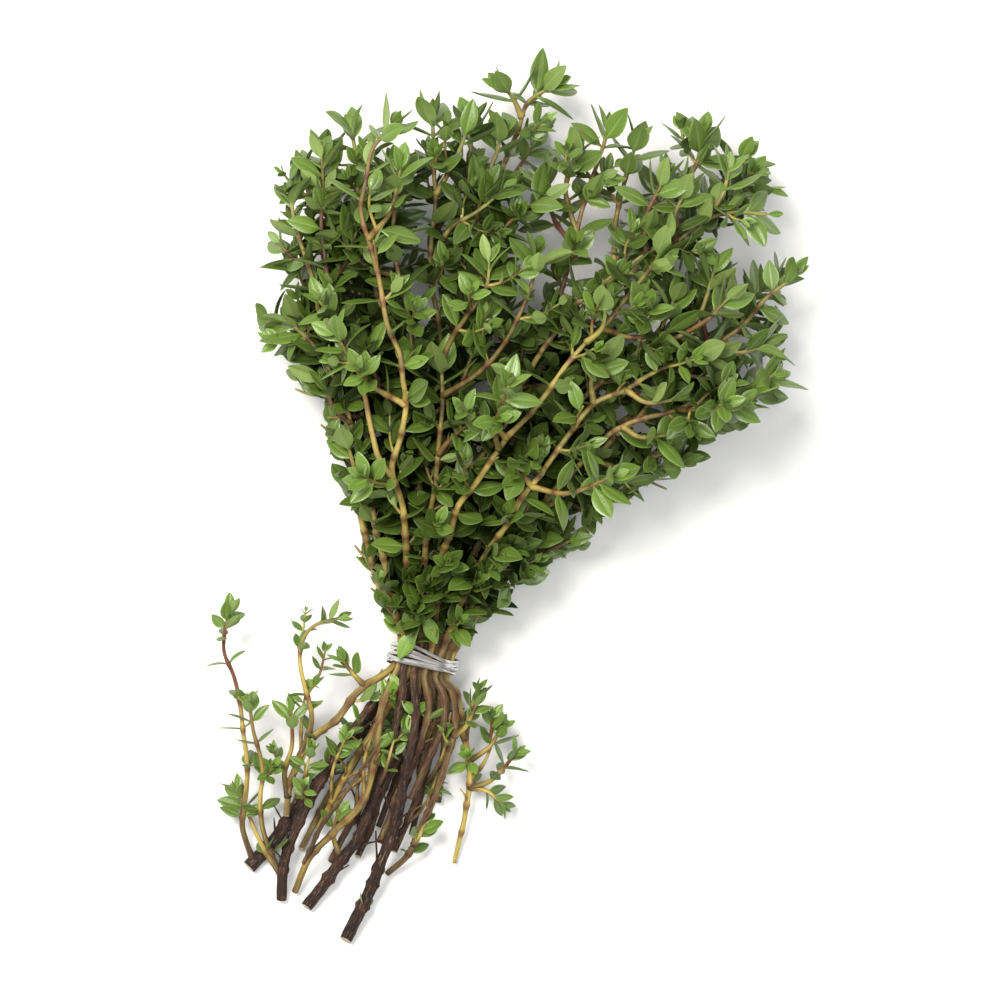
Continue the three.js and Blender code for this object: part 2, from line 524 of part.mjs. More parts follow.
// The origin is under the middle of the bundle, on the surface that it lies on.
const whole = new THREE.Box3().setFromObject(bundle, true);
const middle = whole.getCenter(new THREE.Vector3());
bundle.position.set(-middle.x, -middle.y, -whole.min.z);

export default bundle;
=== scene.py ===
"""A bunch of fresh thyme, cut and tied, lying on its side on a pale surface.

Routes and sizes are in millimetres, and turn into metres where a mesh is made.
The bunch lies with its cut ends towards -Y and its leafy head towards +Y.
"""

import math
import random

import bpy
import numpy as np
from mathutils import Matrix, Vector
from mathutils.bvhtree import BVHTree
from mathutils.geometry import convex_hull_2d
from mathutils.kdtree import KDTree


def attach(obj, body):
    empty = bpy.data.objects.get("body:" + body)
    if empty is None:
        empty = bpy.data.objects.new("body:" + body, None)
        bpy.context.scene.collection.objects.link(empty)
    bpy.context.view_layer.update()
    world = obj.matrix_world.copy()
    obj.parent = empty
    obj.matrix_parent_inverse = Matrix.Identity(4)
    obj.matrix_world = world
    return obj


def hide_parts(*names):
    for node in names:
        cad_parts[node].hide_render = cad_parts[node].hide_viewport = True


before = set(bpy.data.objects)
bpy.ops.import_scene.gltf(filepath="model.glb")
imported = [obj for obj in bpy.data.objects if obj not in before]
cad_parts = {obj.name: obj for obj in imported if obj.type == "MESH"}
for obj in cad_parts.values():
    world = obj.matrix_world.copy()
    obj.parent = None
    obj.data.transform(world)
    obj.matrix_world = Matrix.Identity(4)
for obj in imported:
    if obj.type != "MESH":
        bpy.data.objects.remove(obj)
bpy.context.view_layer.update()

# ---------------------------------------------------------------------- camera
# A long lens looks straight down on the bunch, square to the surface it lies on.

MM = 0.001
CAMERA_AT = (-2.5, 0.55, 1200.0)
VIEW_WIDTH = 200.0  # of the field at the bunch's middle height
BUNCH_MIDDLE = 25.0
SENSOR = 36.0

camera_data = bpy.data.cameras.new("camera")
camera_data.sensor_width = SENSOR
camera_data.lens = SENSOR * (CAMERA_AT[2] - BUNCH_MIDDLE) / VIEW_WIDTH
camera_data.clip_start = 0.05
camera_data.clip_end = 10
camera = bpy.data.objects.new("camera", camera_data)
camera.location = Vector(CAMERA_AT) * MM
bpy.context.scene.collection.objects.link(camera)
bpy.context.scene.camera = camera

# ---------------------------------------------------------------- sprig routes
# Each sprig grew as one piece: a woody stem from its cut end, through the tie, to its
# tip, with the shoots and side twigs that fork from it. Millimetres, seen from above
# with the head away. slot is the stem's place in the tie as row and place in the row,
# cut the radius at its cut end, bark how far its foot has turned to brown wood, bare
# the share of its head that has lost its leaves, twigs the turn in degrees of each side
# twig, and below and above the points that it passes before and after the tie.

USUAL = dict(cut=1, bark=0.7, bare=0.02, shoots=())  # where a sprig says nothing else
SPRIGS = [
    dict(
        slot=(2, 0), cut=1.6, bark=0.95, bare=0.06, twigs=(0, 138),
        below=[(-40.5, -82.3, 2.3), (-33, -72.5, 5), (-27, -62, 8.5), (-23, -50, 12), (-20.8, -40, 14)],
        above=[(-20.5, -21, 18), (-19.6, -11, 24), (-20.2, -2, 29), (-22.3, 5, 32), (-21.3, 12, 34),
               (-19.6, 20, 36.5), (-20.5, 28, 38.5), (-23, 36, 39.5), (-25, 46, 39.5), (-28.2, 57, 39),
               (-27.6, 64, 39), (-26.3, 69.5, 38.5), (-22.5, 75, 37.5)],
        shoots=[
            [(-22.3, 5, 32), (-24.6, 8.5, 33), (-26.6, 15, 33.5), (-28.5, 23, 33), (-31.5, 31, 32.5),
             (-34.3, 41, 32), (-36.2, 52, 31.5), (-36.2, 62, 31), (-36.5, 69, 30)],
            [(-33, -72.5, 5), (-34.8, -67.5, 6), (-33.4, -62.5, 7.6)],
        ],
    ),
    dict(
        slot=(2, 1), cut=1.7, bark=1, bare=0.1, twigs=(178,),
        below=[(-32.5, -89, 2.4), (-27, -77.5, 5.5), (-22.5, -66, 9), (-20.3, -56, 12.5),
               (-18.3, -44, 14.8)],
        above=[(-17.4, -20, 20), (-15.8, -8, 26), (-14, 4, 30.5), (-13, 13, 32.5), (-12.2, 21, 33.5),
               (-12.8, 28, 34.5)],
        shoots=[
            [(-12.2, 21.3, 34), (-5.6, 25.5, 37.5), (-1, 30.5, 39.5), (2.8, 37, 40.5), (5.2, 43, 40.5),
             (6.2, 48.5, 39.5)],
            [(-12.8, 28, 34.5), (-10.8, 32.5, 37), (-7, 37.3, 39.5), (-3.8, 42.6, 41), (-3.2, 48, 40.5)],
            [(-13.3, 10, 32), (-10.2, 13.4, 35), (-7.2, 15.6, 37)],
        ],
    ),
    dict(
        slot=(2, 2), cut=1.3, bare=0.06, twigs=(80, 218),
        below=[(-25.5, -69, 4), (-22, -60, 6.8), (-17.4, -49, 12.3), (-15.4, -40, 13.7)],
        above=[(-13.8, -20, 20), (-12, -9, 27), (-9.5, -1.5, 31), (-4.4, 6, 34.5), (0.5, 12.5, 37),
               (6, 19.5, 39), (12, 27, 40.5), (18, 33.8, 41), (25, 42, 40.5), (29.4, 47.5, 39),
               (32, 52, 37.5)],
        shoots=[
            [(16, 31.5, 41), (19, 34.5, 43), (20, 39.5, 44)],
            [(0.5, 12.5, 37), (-1.6, 15.5, 39.5), (-0.8, 20, 41)],
        ],
    ),
    dict(
        slot=(2, 3), cut=1.1, bark=0.75, bare=0.06, twigs=(120, 258),
        below=[(-19.2, -60, 9.6), (-16.2, -53.5, 11.8), (-12.8, -45, 13.6), (-12.4, -38.5, 14.4)],
        above=[(-9.2, -21, 19), (-4, -10.5, 26), (1, -3, 30), (5, 3.4, 33), (9, 9.3, 35), (13, 14.8, 36.5),
               (17.5, 20, 37.5), (24, 22.7, 38), (29, 25.6, 37.5), (33.5, 27.8, 36.5), (41, 29, 35)],
        shoots=[
            [(17.5, 20, 37.5), (17.4, 25, 39.5), (20.2, 29.5, 40.5)],
            [(5, 3.4, 33), (3.2, 7, 36), (5.6, 11, 38)],
            [(24, 22.7, 38), (28, 20, 40), (33, 20.5, 41)],
        ],
    ),
    dict(
        slot=(1, 0), cut=1.15, bark=0.56, twigs=(298, 298),
        below=[(-42.8, -79.2, 2.2), (-40, -72.5, 5.8), (-34.5, -67, 9), (-29, -60.5, 12.5),
               (-26.4, -51, 14.5), (-24.9, -41, 14.6)],
        above=[(-22.6, -21, 16.5), (-24.6, -10, 20), (-27.3, 3, 23.5), (-31, 16, 26), (-34.4, 26, 27),
               (-38, 31.5, 27.5), (-43, 36.5, 27)],
        shoots=[
            [(-31, 16, 26), (-34, 19, 27.5), (-35.5, 23, 28)],
            [(-27.3, 3, 23.5), (-30, 8, 27.5), (-31.5, 12.5, 28.5)],
        ],
    ),
    dict(
        slot=(1, 1), bark=0.5, twigs=(201, 338),
        below=[(-38, -66.5, 4), (-33, -57, 8), (-27, -46.5, 10.4), (-21.5, -37.5, 11.3)],
        above=[(-18.4, -20, 15.5), (-17.6, -5, 21), (-17, 10, 26), (-17.5, 25, 30), (-19.8, 40, 33),
               (-21.8, 50, 33), (-21.8, 57, 33), (-21, 66, 32)],
    ),
    dict(
        slot=(1, 2), cut=1.1, bark=0.8, twigs=(241, 18),
        below=[(-30, -72, 2.5), (-25, -60, 5.5), (-20, -47, 9.5), (-17.6, -38, 11.8)],
        above=[(-14.6, -19, 15.5), (-10.5, -4, 21), (-4, 11, 26), (5, 27, 30), (15, 40, 33), (25.5, 48, 34),
               (34, 52, 34), (40, 56.2, 34), (46, 57.5, 33), (52, 57.5, 31.5)],
        shoots=[
            [(34, 52, 34), (33.6, 57, 36), (35.6, 62, 36.5)],
            [(40, 56.2, 34), (43, 61.5, 35.5), (44.5, 66, 35)],
        ],
    ),
    dict(
        slot=(1, 3), cut=1.05, bark=0.75, twigs=(281, 196),
        below=[(-22.5, -71, 3), (-18, -60, 6.5), (-15.8, -47, 10.2), (-14.6, -38, 11.5)],
        above=[(-10.8, -20, 15.5), (-4.2, -6, 21.5), (5, 7, 27), (16, 21, 31), (27, 30, 33.8),
               (35.6, 34.3, 35.5), (39.4, 39, 35.5), (41, 46, 35)],
        shoots=[
            [(35.6, 34.3, 35.5), (40, 36.5, 38), (44, 40.5, 39)],
            [(27, 30, 33.8), (31, 35, 36.5), (33.2, 40, 38)],
        ],
    ),
    dict(
        slot=(1, 4), twigs=(321, 98),
        below=[(-24, -75.5, 2.4), (-20, -71.6, 5.5), (-17.3, -66, 8), (-14.5, -60, 10.5), (-11.6, -52, 12.2),
               (-10.2, -44, 12.6), (-10.6, -38, 12)],
        above=[(-8.6, -25, 14.5), (-5.8, -18, 18), (0.5, -8.5, 22.5), (9, 1.5, 26), (17, 10, 29.5),
               (23, 15.5, 31), (31, 17.6, 32), (38, 20.5, 32), (46.5, 22.5, 31), (53, 25.5, 30)],
        shoots=[
            [(-10.8, -47, 12.6), (-7.6, -44.8, 14), (-5.6, -40.6, 14.6)],
            [(-19, -69.6, 6.6), (-17.2, -67.4, 8.2), (-15.8, -64.6, 8.8)],
            [(38, 20.5, 32), (43, 18.5, 33.5), (47, 19.5, 34)],
            [(23, 15.5, 31), (27, 13, 33), (32, 13.5, 34)],
        ],
    ),
    dict(
        slot=(0, 0), cut=1.1, bark=0.55, twigs=(1, 138),
        below=[(-44.4, -63.5, 6.2), (-43.4, -56, 8.2), (-40, -48.8, 10.2), (-33.5, -42.8, 12),
               (-28, -37, 12)],
        above=[(-25.4, -17, 12), (-28.8, -3, 15), (-32, 11, 18), (-34.6, 24, 21.5), (-36.5, 35, 25.5),
               (-38.6, 45, 28.5), (-41.8, 55, 29.5), (-43, 61.5, 29)],
        shoots=[
            [(-43.9, -59.4, 7.4), (-44.8, -54.5, 9.5), (-43, -49, 11.5), (-43, -42, 12)],
            [(-41.5, -51.5, 9), (-39.2, -43.5, 13), (-40.3, -37, 14.5), (-41.2, -31, 15.5), (-40, -26, 16.5),
             (-38.2, -24.2, 17), (-33.6, -23, 16)],
            [(-28.3, -37.3, 12), (-30.2, -34.6, 14), (-32.5, -31.5, 15)],
        ],
    ),
    dict(
        slot=(0, 1), cut=1.4, bark=0.9, twigs=(41, 316),
        below=[(-45.6, -80.8, 1.9), (-44.4, -71, 5.4), (-41, -62.5, 7.6), (-33.5, -50.5, 9.6),
               (-25.6, -39.5, 10.4)],
        above=[(-21.8, -17, 12.5), (-24.4, -2, 16.5), (-27.8, 14, 20), (-31.4, 30, 23.5), (-35, 45, 25.5),
               (-38.4, 57, 25.5), (-40.8, 67, 25)],
        shoots=[
            [(-45, -76, 3.2), (-48.3, -69, 5.5), (-49.7, -60, 8), (-48.8, -54, 10), (-50.8, -46, 12),
             (-51.6, -40.5, 13)],
            [(-45, -76, 3.2), (-48.8, -70.2, 5.6), (-52, -64, 3.4), (-54.8, -58.5, 2.6)],
        ],
    ),
    dict(
        slot=(0, 2), cut=1.1, bark=0.75, twigs=(81, 219),
        below=[(-35.5, -73, 1.9), (-31, -64, 4.5), (-25, -51, 8), (-20.2, -39.5, 10)],
        above=[(-18.6, -17, 12.5), (-19.6, -2, 16.5), (-21.2, 15, 20.5), (-24, 33, 24), (-27.2, 50, 26.5),
               (-29.4, 64, 27), (-30.4, 74.5, 26.5)],
    ),
    dict(
        slot=(0, 3), bark=0.85, twigs=(36, 259),
        below=[(-25.8, -66, 1.8), (-22, -56, 4.2), (-18.2, -45, 7.6), (-16, -37.5, 9.4)],
        above=[(-14.4, -17, 12.5), (-12.8, -2, 16.5), (-12, 15, 20.5), (-12.6, 32, 24), (-14.8, 47, 26),
               (-14, 60, 27), (-14.8, 77, 27)],
        shoots=[
            [(-14.8, 47, 26), (-10.8, 54.5, 29.5), (-5, 58.3, 31.5), (-0.6, 62, 32)],
            [(-13.8, 62, 27), (-10.2, 68, 29), (-7.5, 75, 29)],
        ],
    ),
    dict(
        slot=(0, 4), twigs=(161, 299),
        below=[(-19, -67.5, 1.8), (-16.6, -58, 4.2), (-14, -46, 8), (-12.8, -38.5, 9.7)],
        above=[(-9.8, -18, 12.5), (-4.6, -3, 17), (1.8, 13, 21.5), (8, 30, 25), (12.5, 46, 27.5),
               (16, 60, 28.5), (20.5, 74.5, 28)],
        shoots=[
            [(4.8, 22, 23.4), (-1, 34, 26), (-4, 46, 28.5), (-1, 53.5, 30.5), (3.4, 58.4, 31.5),
             (8, 61, 31.5)],
            [(14.5, 54, 28), (12, 62, 29.5), (14.5, 70, 30)],
        ],
    ),
    dict(
        slot=(0, 5), cut=0.75, bark=0.4, twigs=(201, 339),
        below=[(-10.3, -73.3, 1.4), (-7.6, -63, 3.6), (-7.5, -53, 6.4), (-9, -45, 8.6), (-9.9, -38.5, 9.6)],
        above=[(-5.6, -22, 12.5), (2.2, -9, 16.5), (12, 3, 20.5), (22, 13, 24), (32, 22.5, 26.5),
               (41.5, 30.8, 27.5), (47.5, 35.4, 27.5), (52, 40.4, 27), (57.5, 45.5, 26.5)],
        shoots=[
            [(-7.5, -52, 6.6), (-3.4, -49.6, 8.6), (-0.8, -45.6, 9.5)],
            [(-7.6, -58, 5), (-3.8, -58.4, 6.4), (-0.6, -61, 6.2)],
            [(-8.4, -48, 7.8), (-7, -42, 10.5), (-5.8, -37.5, 11.5)],
            [(-7.6, -57.6, 5.2), (-3.6, -56.6, 7.5), (0, -53.6, 9), (2.4, -50.8, 10)],
            [(42.5, 31.5, 27.5), (47, 30, 28.8), (52, 31.6, 29)],
        ],
    ),
    dict(
        slot=(-1, 0), cut=1.9, bark=1, twigs=(19, 19),
        below=[(-52.2, -74.2, 2), (-45.6, -66.6, 2.5), (-37.6, -56.6, 4.2), (-30, -46.5, 6.2),
               (-24.6, -38.4, 7.6)],
        above=[(-23.4, -17, 8.5), (-26.6, -2, 11), (-30, 13, 13.5), (-34, 27, 16), (-38.4, 39, 18),
               (-42.4, 48, 19)],
        shoots=[
            [(-51.4, -73.3, 2.6), (-53.4, -66, 5), (-52.2, -56, 7.5), (-53, -47, 9.5), (-53.6, -39.5, 11),
             (-54.7, -35.3, 12), (-56.9, -30, 13.5), (-56.5, -25, 14.5), (-55.5, -21.8, 14.5)],
            [(-30, 13, 13.5), (-35.5, 22, 15), (-41, 28.5, 17)],
        ],
    ),
    dict(
        slot=(-1, 1), bark=0.6, twigs=(59, 197),
        below=[(-41.5, -70.5, 1.7), (-35.4, -59.4, 3), (-27.4, -47, 5.4), (-21.8, -38.5, 7.2)],
        above=[(-20, -15, 9), (-21.4, 3, 12), (-24, 22, 15.5), (-28, 41, 18.5), (-32.6, 57, 20.5),
               (-36.6, 70, 21)],
    ),
    dict(
        slot=(-1, 2), bark=0.8, twigs=(322, 99),
        below=[(-31, -65.5, 1.5), (-26.8, -56, 2.8), (-21, -44, 5.4), (-17.6, -37.5, 7)],
        above=[(-15.2, -14, 9.5), (-12.4, 5, 13), (-9.8, 24, 16.5), (-8.4, 43, 19.5), (-8, 60, 21.5),
               (-6.8, 76, 22)],
        shoots=[
            [(-8, 60, 21.5), (-3, 67, 23), (-0.5, 74, 24)],
        ],
    ),
    dict(
        slot=(-1, 3), bark=0.75, twigs=(2, 139),
        below=[(-22, -64, 1.7), (-18.4, -53, 3.4), (-15.4, -43, 6), (-14.3, -37.5, 7.2)],
        above=[(-10.4, -16, 9.5), (-3.4, 0, 13), (4.6, 18, 16.5), (13, 35, 19.5), (22, 49, 21.5),
               (31.6, 60, 22.5), (37.8, 67, 23), (39.4, 74, 23)],
        shoots=[
            [(22, 49, 21.5), (22.5, 58, 24), (24.5, 66, 25), (26.5, 72, 25)],
        ],
    ),
    dict(
        slot=(-1, 4), twigs=(42, 180),
        below=[(-13.5, -61, 1.7), (-13, -52, 4), (-12, -43, 6.4), (-11.8, -38, 7.4)],
        above=[(-6.6, -20, 9.5), (1.2, -8, 11.5), (12, 0.5, 14), (23.6, 7, 16.5), (32.4, 11, 18.5),
               (40, 16.4, 19.5), (46, 22, 19.5)],
        shoots=[
            [(1.2, -8, 11.5), (7.6, -9.6, 13.5), (13, -7.6, 15)],
            [(12, 0.5, 14), (17.6, -1.4, 15.5), (22, 1.4, 17)],
            [(23.6, 7, 16.5), (30, 5.4, 18.5), (35.6, 7.6, 20)],
        ],
    ),
    dict(
        slot=(-2, 0), twigs=(220, 220),
        below=[(-33.6, -58, 1.2), (-28.2, -48.5, 2.2), (-23, -39, 4.4)],
        above=[(-22, -14, 5.4), (-23.6, 4, 6.6), (-26, 22, 8.6), (-29.4, 40, 10.6), (-33, 54, 12),
               (-35.6, 64, 13)],
    ),
    dict(
        slot=(-2, 1), cut=0.9, bark=0.8, twigs=(260, 260),
        below=[(-25, -54, 1), (-22.3, -46.5, 2.6), (-18.9, -38, 4.8)],
        above=[(-17, -12, 5.6), (-15.2, 8, 7.4), (-12, 28, 10), (-8, 46, 12.5), (-3, 62, 14.5),
               (2.4, 75, 16), (4.2, 80.6, 17), (9.4, 83.6, 18)],
        shoots=[
            [(3.2, 78, 16.5), (1.4, 82, 18), (-0.4, 84, 19)],
        ],
    ),
    dict(
        slot=(-2, 2), bark=0.8, twigs=(162, 300),
        below=[(-21, -56, 1.6), (-17.6, -46, 3), (-15.4, -38, 4.8)],
        above=[(-11.4, -14, 5.6), (-3.4, 4, 7.4), (6.4, 21, 9.6), (17.4, 37, 11.8), (29, 50, 13.6),
               (39, 60, 15), (47.4, 69.6, 16)],
        shoots=[
            [(39, 60, 15), (46.6, 62.6, 17), (53, 63.6, 18)],
        ],
    ),
    dict(
        slot=(-2, 3), twigs=(202, 340),
        below=[(-16, -55, 1.6), (-14, -46, 3.4), (-13, -38.6, 5)],
        above=[(-8, -19, 5.6), (0, -6.6, 7.2), (11, 5, 9), (24, 17, 11), (36, 27, 13), (45.6, 35.6, 15),
               (51.6, 43, 16.5)],
        shoots=[
            [(0, -6.6, 7.2), (5, -11, 8), (8.6, -12.6, 9)],
            [(45.6, 35.6, 15), (52, 33, 16.5), (57, 33.6, 18)],
            [(24, 17, 11), (33, 17.6, 12), (42, 21, 13), (52, 22.6, 15)],
        ],
    ),
]

SPRIGS = [{**USUAL, **sprig} for sprig in SPRIGS]
# The share of the head where each side twig starts and the twig's length, for a sprig
# that has one twig and for a sprig that has two.
TWIG_PLACES = {1: ((0.64, 21),), 2: ((0.49, 21), (0.79, 16))}
LAYOUT_SHIFT = np.array([-1.53, -0.15, -0.1])  # from the routes' zero to under the bunch's middle
THROAT = np.array([-16.5, -31.5, 10.0])  # where the tie draws the sprigs together
THROAT_TURN = math.radians(-15.4)
THROAT_AXIS = np.array([-math.sin(THROAT_TURN), math.cos(THROAT_TURN), 0.0])
THROAT_ACROSS = np.array([math.cos(THROAT_TURN), math.sin(THROAT_TURN), 0.0])
THROAT_LENGTH = 6.0
SLOT_PITCH = 2.2
ROW_PITCH = SLOT_PITCH * math.sin(math.pi / 3)
THROAT_RADIUS = 0.93
MIDDLE_ROW = 5  # the last place in the middle row, which has one place more than the next
SHOOT_RADIUS = 0.56
SHOOT_TIP_RADIUS = 0.3
TWIG_LEAN = 0.62  # share of a side twig's direction that points away from its stem
TWIG_RISE = 0.45  # share of a twig's spread that points up or down
TWIG_ELBOW = 0.45  # share of a twig's length before it bends towards its stem's way
TWIG_BEND = 0.45  # share of its stem's way in a twig's direction after that
SAMPLE = 0.7  # mm between the rings of a stem
# How far the head's leaves reach to the left and the right, as y and x from the tie up.
LEFT_RIM = (
    (-27, -23.5), (-20, -25), (-15, -27), (-5, -28.5), (0, -32), (6, -33.5), (12, -37), (18, -36),
    (24, -39), (28, -46), (32, -50), (40, -50.5), (46, -48), (58, -47.5), (66, -46), (74, -41),
    (80, -35), (84, -14), (88, -4), (93, 2),
)
RIGHT_RIM = (
    (-27, -8), (-24, -3), (-21, 2), (-15, 8), (-10, 14), (-6, 22), (2, 28), (8, 38), (13, 44),
    (17, 54), (23, 60), (28, 58), (33, 55), (40, 60), (48, 62.5), (53, 56), (60, 56), (72, 54),
    (78, 42), (81, 34), (84, 19), (93, 18),
)
TRIM = 2.5  # mm inside those reaches where a side twig ends
STEM_KINK = 0.42  # mm that a joint may stand aside from the smooth route
SHOOT_KINK = 0.26
KINK_STEP = 6.0  # mm from one such bend to the next
KINK_FREE = 5.0  # mm to each side of the tie with no such bends
UP = np.array([0.0, 0.0, 1.0])


def unit(v):
    return v / max(np.linalg.norm(v), 1e-9)


def ways_of(at):
    """The direction of a line at each of its points."""
    way = np.gradient(at, axis=0)
    return way / np.linalg.norm(way, axis=1)[:, None]


def smooth_line(points, step=SAMPLE, owner=None):
    """A curve through the points, whose pace follows their spacing, at equal steps along it.
    s is the distance along it, nodes where its leaves grow, owner the stem it belongs to."""
    p = np.array(points, float)
    p = np.vstack([2 * p[0] - p[1], p, 2 * p[-1] - p[-2]])
    pace = np.maximum(np.linalg.norm(np.diff(p, axis=0), axis=1) ** 0.5, 1e-4)
    share = np.linspace(0, 1, 24, endpoint=False)[:, None]
    dense = []
    for i in range(1, len(p) - 2):
        d0, d1, d2 = pace[i - 1 : i + 2]
        a = (p[i] - p[i - 1]) / d0 - (p[i + 1] - p[i - 1]) / (d0 + d1) + (p[i + 1] - p[i]) / d1
        b = (p[i + 1] - p[i]) / d1 - (p[i + 2] - p[i]) / (d1 + d2) + (p[i + 2] - p[i + 1]) / d2
        a, b = a * d1, b * d1
        rise = p[i + 1] - p[i]
        dense.append(p[i] + a * share + (3 * rise - 2 * a - b) * share**2 + (a + b - 2 * rise) * share**3)
    dense = np.vstack(dense + [p[-2][None]])
    run = np.concatenate([[0], np.cumsum(np.linalg.norm(np.diff(dense, axis=0), axis=1))])
    s = np.linspace(0, run[-1], max(4, int(run[-1] / step) + 1))
    at = np.column_stack([np.interp(s, run, dense[:, k]) for k in range(3)])
    return dict(at=at, way=ways_of(at), s=s, length=run[-1], nodes=[], owner=owner)


def on_line(line, s):
    """The point at s mm along a line, and the line's direction there."""
    point = np.array([np.interp(s, line["s"], line["at"][:, k]) for k in range(3)])
    way = np.array([np.interp(s, line["s"], line["way"][:, k]) for k in range(3)])
    return point, unit(way)


def nearest_s(line, point):
    return line["s"][np.argmin(np.linalg.norm(line["at"] - np.array(point), axis=1))]


def sides_of(way):
    """Two directions square to a stem: one level, one in the upright plane."""
    level = unit(np.cross(UP, way))
    return level, np.cross(way, level)


def twig_line(stem, s, turn, length):
    """A side twig leaves its stem sideways and then bends towards the stem's own way."""
    start, way = on_line(stem, s)
    level, upright = sides_of(way)
    away = unit(level * math.cos(turn) + upright * TWIG_RISE * math.sin(turn))
    out = unit(way * (1 - TWIG_LEAN) + away * TWIG_LEAN)
    middle = start + out * length * TWIG_ELBOW
    end = middle + unit(out * (1 - TWIG_BEND) + way * TWIG_BEND) * length * (1 - TWIG_ELBOW)
    middle[2] = max(middle[2], SHOOT_RADIUS + 0.4)
    end[2] = max(end[2], SHOOT_RADIUS + 1.4)
    return smooth_line([start, middle, end])


def slot_point(slot):
    row, place = slot
    across = (place - (MIDDLE_ROW - abs(row)) / 2) * SLOT_PITCH
    return THROAT + THROAT_ACROSS * across + UP * row * ROW_PITCH


def kinked(line, rng, size, still=-99.0):
    """The line with the small bends of a stem that turned a little at each joint, except
    near the point that is still mm along it."""
    bends = np.arange(0, line["length"] + 1.5 * KINK_STEP, KINK_STEP)
    aside = np.array([[rng.uniform(-size, size) for _ in range(3)] for _ in bends])
    aside[0] = 0
    shift = np.column_stack([np.interp(line["s"], bends, aside[:, k]) for k in range(3)])
    calm = np.clip((np.abs(line["s"] - still) - KINK_FREE) / KINK_STEP, 0, 1)[:, None]
    at = line["at"] + shift * calm
    return dict(line, at=at, way=ways_of(at))


def in_rims(point, room=0.0):
    """True for a point that is inside the head's outline, seen from above."""
    left = np.interp(point[1], *zip(*LEFT_RIM))
    right = np.interp(point[1], *zip(*RIGHT_RIM))
    return left + room < point[0] < right - room


def trimmed(line):
    """The part of a side twig that stays within the head's outline."""
    outside = [k for k, point in enumerate(line["at"]) if k > 4 and not in_rims(point, TRIM)]
    if not outside:
        return line
    kept = {key: line[key][: outside[0]] for key in ("at", "way", "s")}
    return dict(line, **kept, length=kept["s"][-1])


def lines_of(number, sprig, rng):
    """The sprig's stem and then its shoots and twigs. Each knows where it leaves the stem."""
    slot = slot_point(sprig["slot"])
    inside = [slot + THROAT_AXIS * THROAT_LENGTH * k for k in (-0.5, 0, 0.5)]
    stem = smooth_line([*sprig["below"], *inside, *sprig["above"]])
    tie_s = nearest_s(stem, slot)
    head = stem["length"] - tie_s
    stem = dict(kinked(stem, rng, STEM_KINK, tie_s), tie_s=tie_s, head=head)
    group = [stem]
    for route in sprig["shoots"]:
        s = nearest_s(stem, route[0])
        line = kinked(smooth_line([on_line(stem, s)[0], *route[1:]]), rng, SHOOT_KINK)
        group.append(dict(line, from_s=s, is_twig=False))
    for degrees, (share, length) in zip(sprig["twigs"], TWIG_PLACES[len(sprig["twigs"])]):
        s = tie_s + share * head
        twig = trimmed(twig_line(stem, s, math.radians(degrees), length))
        group.append(dict(twig, from_s=s, is_twig=True))
    for k, line in enumerate(group):
        line["owner"] = (number, k)
    return group


rng = random.Random(11)
lines = [lines_of(number, sprig, rng) for number, sprig in enumerate(SPRIGS)]

# The stretches of the uppermost stems that no leaf hides, as sprig, line (0 is the stem,
# 1 on are its shoots) and the reach in y.
OPEN_STEMS = (
    (0, 0, 7, 33), (0, 0, 45, 66), (0, 1, 10, 20), (1, 0, 5, 25), (1, 1, 24, 38), (1, 2, 32, 39),
    (2, 0, 3, 19), (2, 0, 30, 41), (3, 0, 2, 19), (3, 0, 21, 25), (8, 0, 15, 19),
)
open_points = [
    point for number, which, low, high in OPEN_STEMS for point in lines[number][which]["at"]
    if low <= point[1] <= high
]

# ----------------------------------------------------------------- stem meshes
# Thyme stems: square and tender at the tips, round and woody at the foot, thicker at
# each pair of leaves, with scars and broken twigs where older leaves and twigs grew.

FLOOR_GAP = 0.15  # mm, the least height of any stem or leaf in the routes' own frame
NODE_SWELL = 0.36  # how much thicker a stem is where its leaves grow
NODE_REACH = 0.7  # mm, half the length of that swelling
COLLAR_REACH = 0.85  # mm, half the length of the brown scar round a node
COLLAR_BELOW = 0.45  # mm that this scar sits below the leaves
WINE_AGE = (0.02, 0.38)  # the ages between which a stem may turn wine red
WINE_FADE = (0.06, 0.16)  # how much age that takes at the young and the old end
RIDGE = 0.07  # depth of the ridges of old bark, as a share of the radius
RIDGE_AGE = 0.45  # age from which the bark is ridged
SQUARE = 0.1  # how far a square stem's corners stand out, as a share of the radius
CUT_SLANT = (-0.1, 0.7)  # least and most slant of a cut end


def frames_along(line):
    """Two directions square to the line at each point, carried along with no twist."""
    first, _ = sides_of(line["way"][0])
    across = [first]
    for way in line["way"][1:]:
        across.append(unit(across[-1] - way * np.dot(across[-1], way)))
    across = np.array(across)
    return across, np.cross(line["way"], across)


def near_nodes(s, nodes, reach):
    """1 at a node, and 0 away from it."""
    if not len(nodes):
        return np.zeros(len(s))
    gap = s[:, None] - np.array(nodes, float)[None]
    return np.exp(-((gap / reach) ** 2)).max(1)


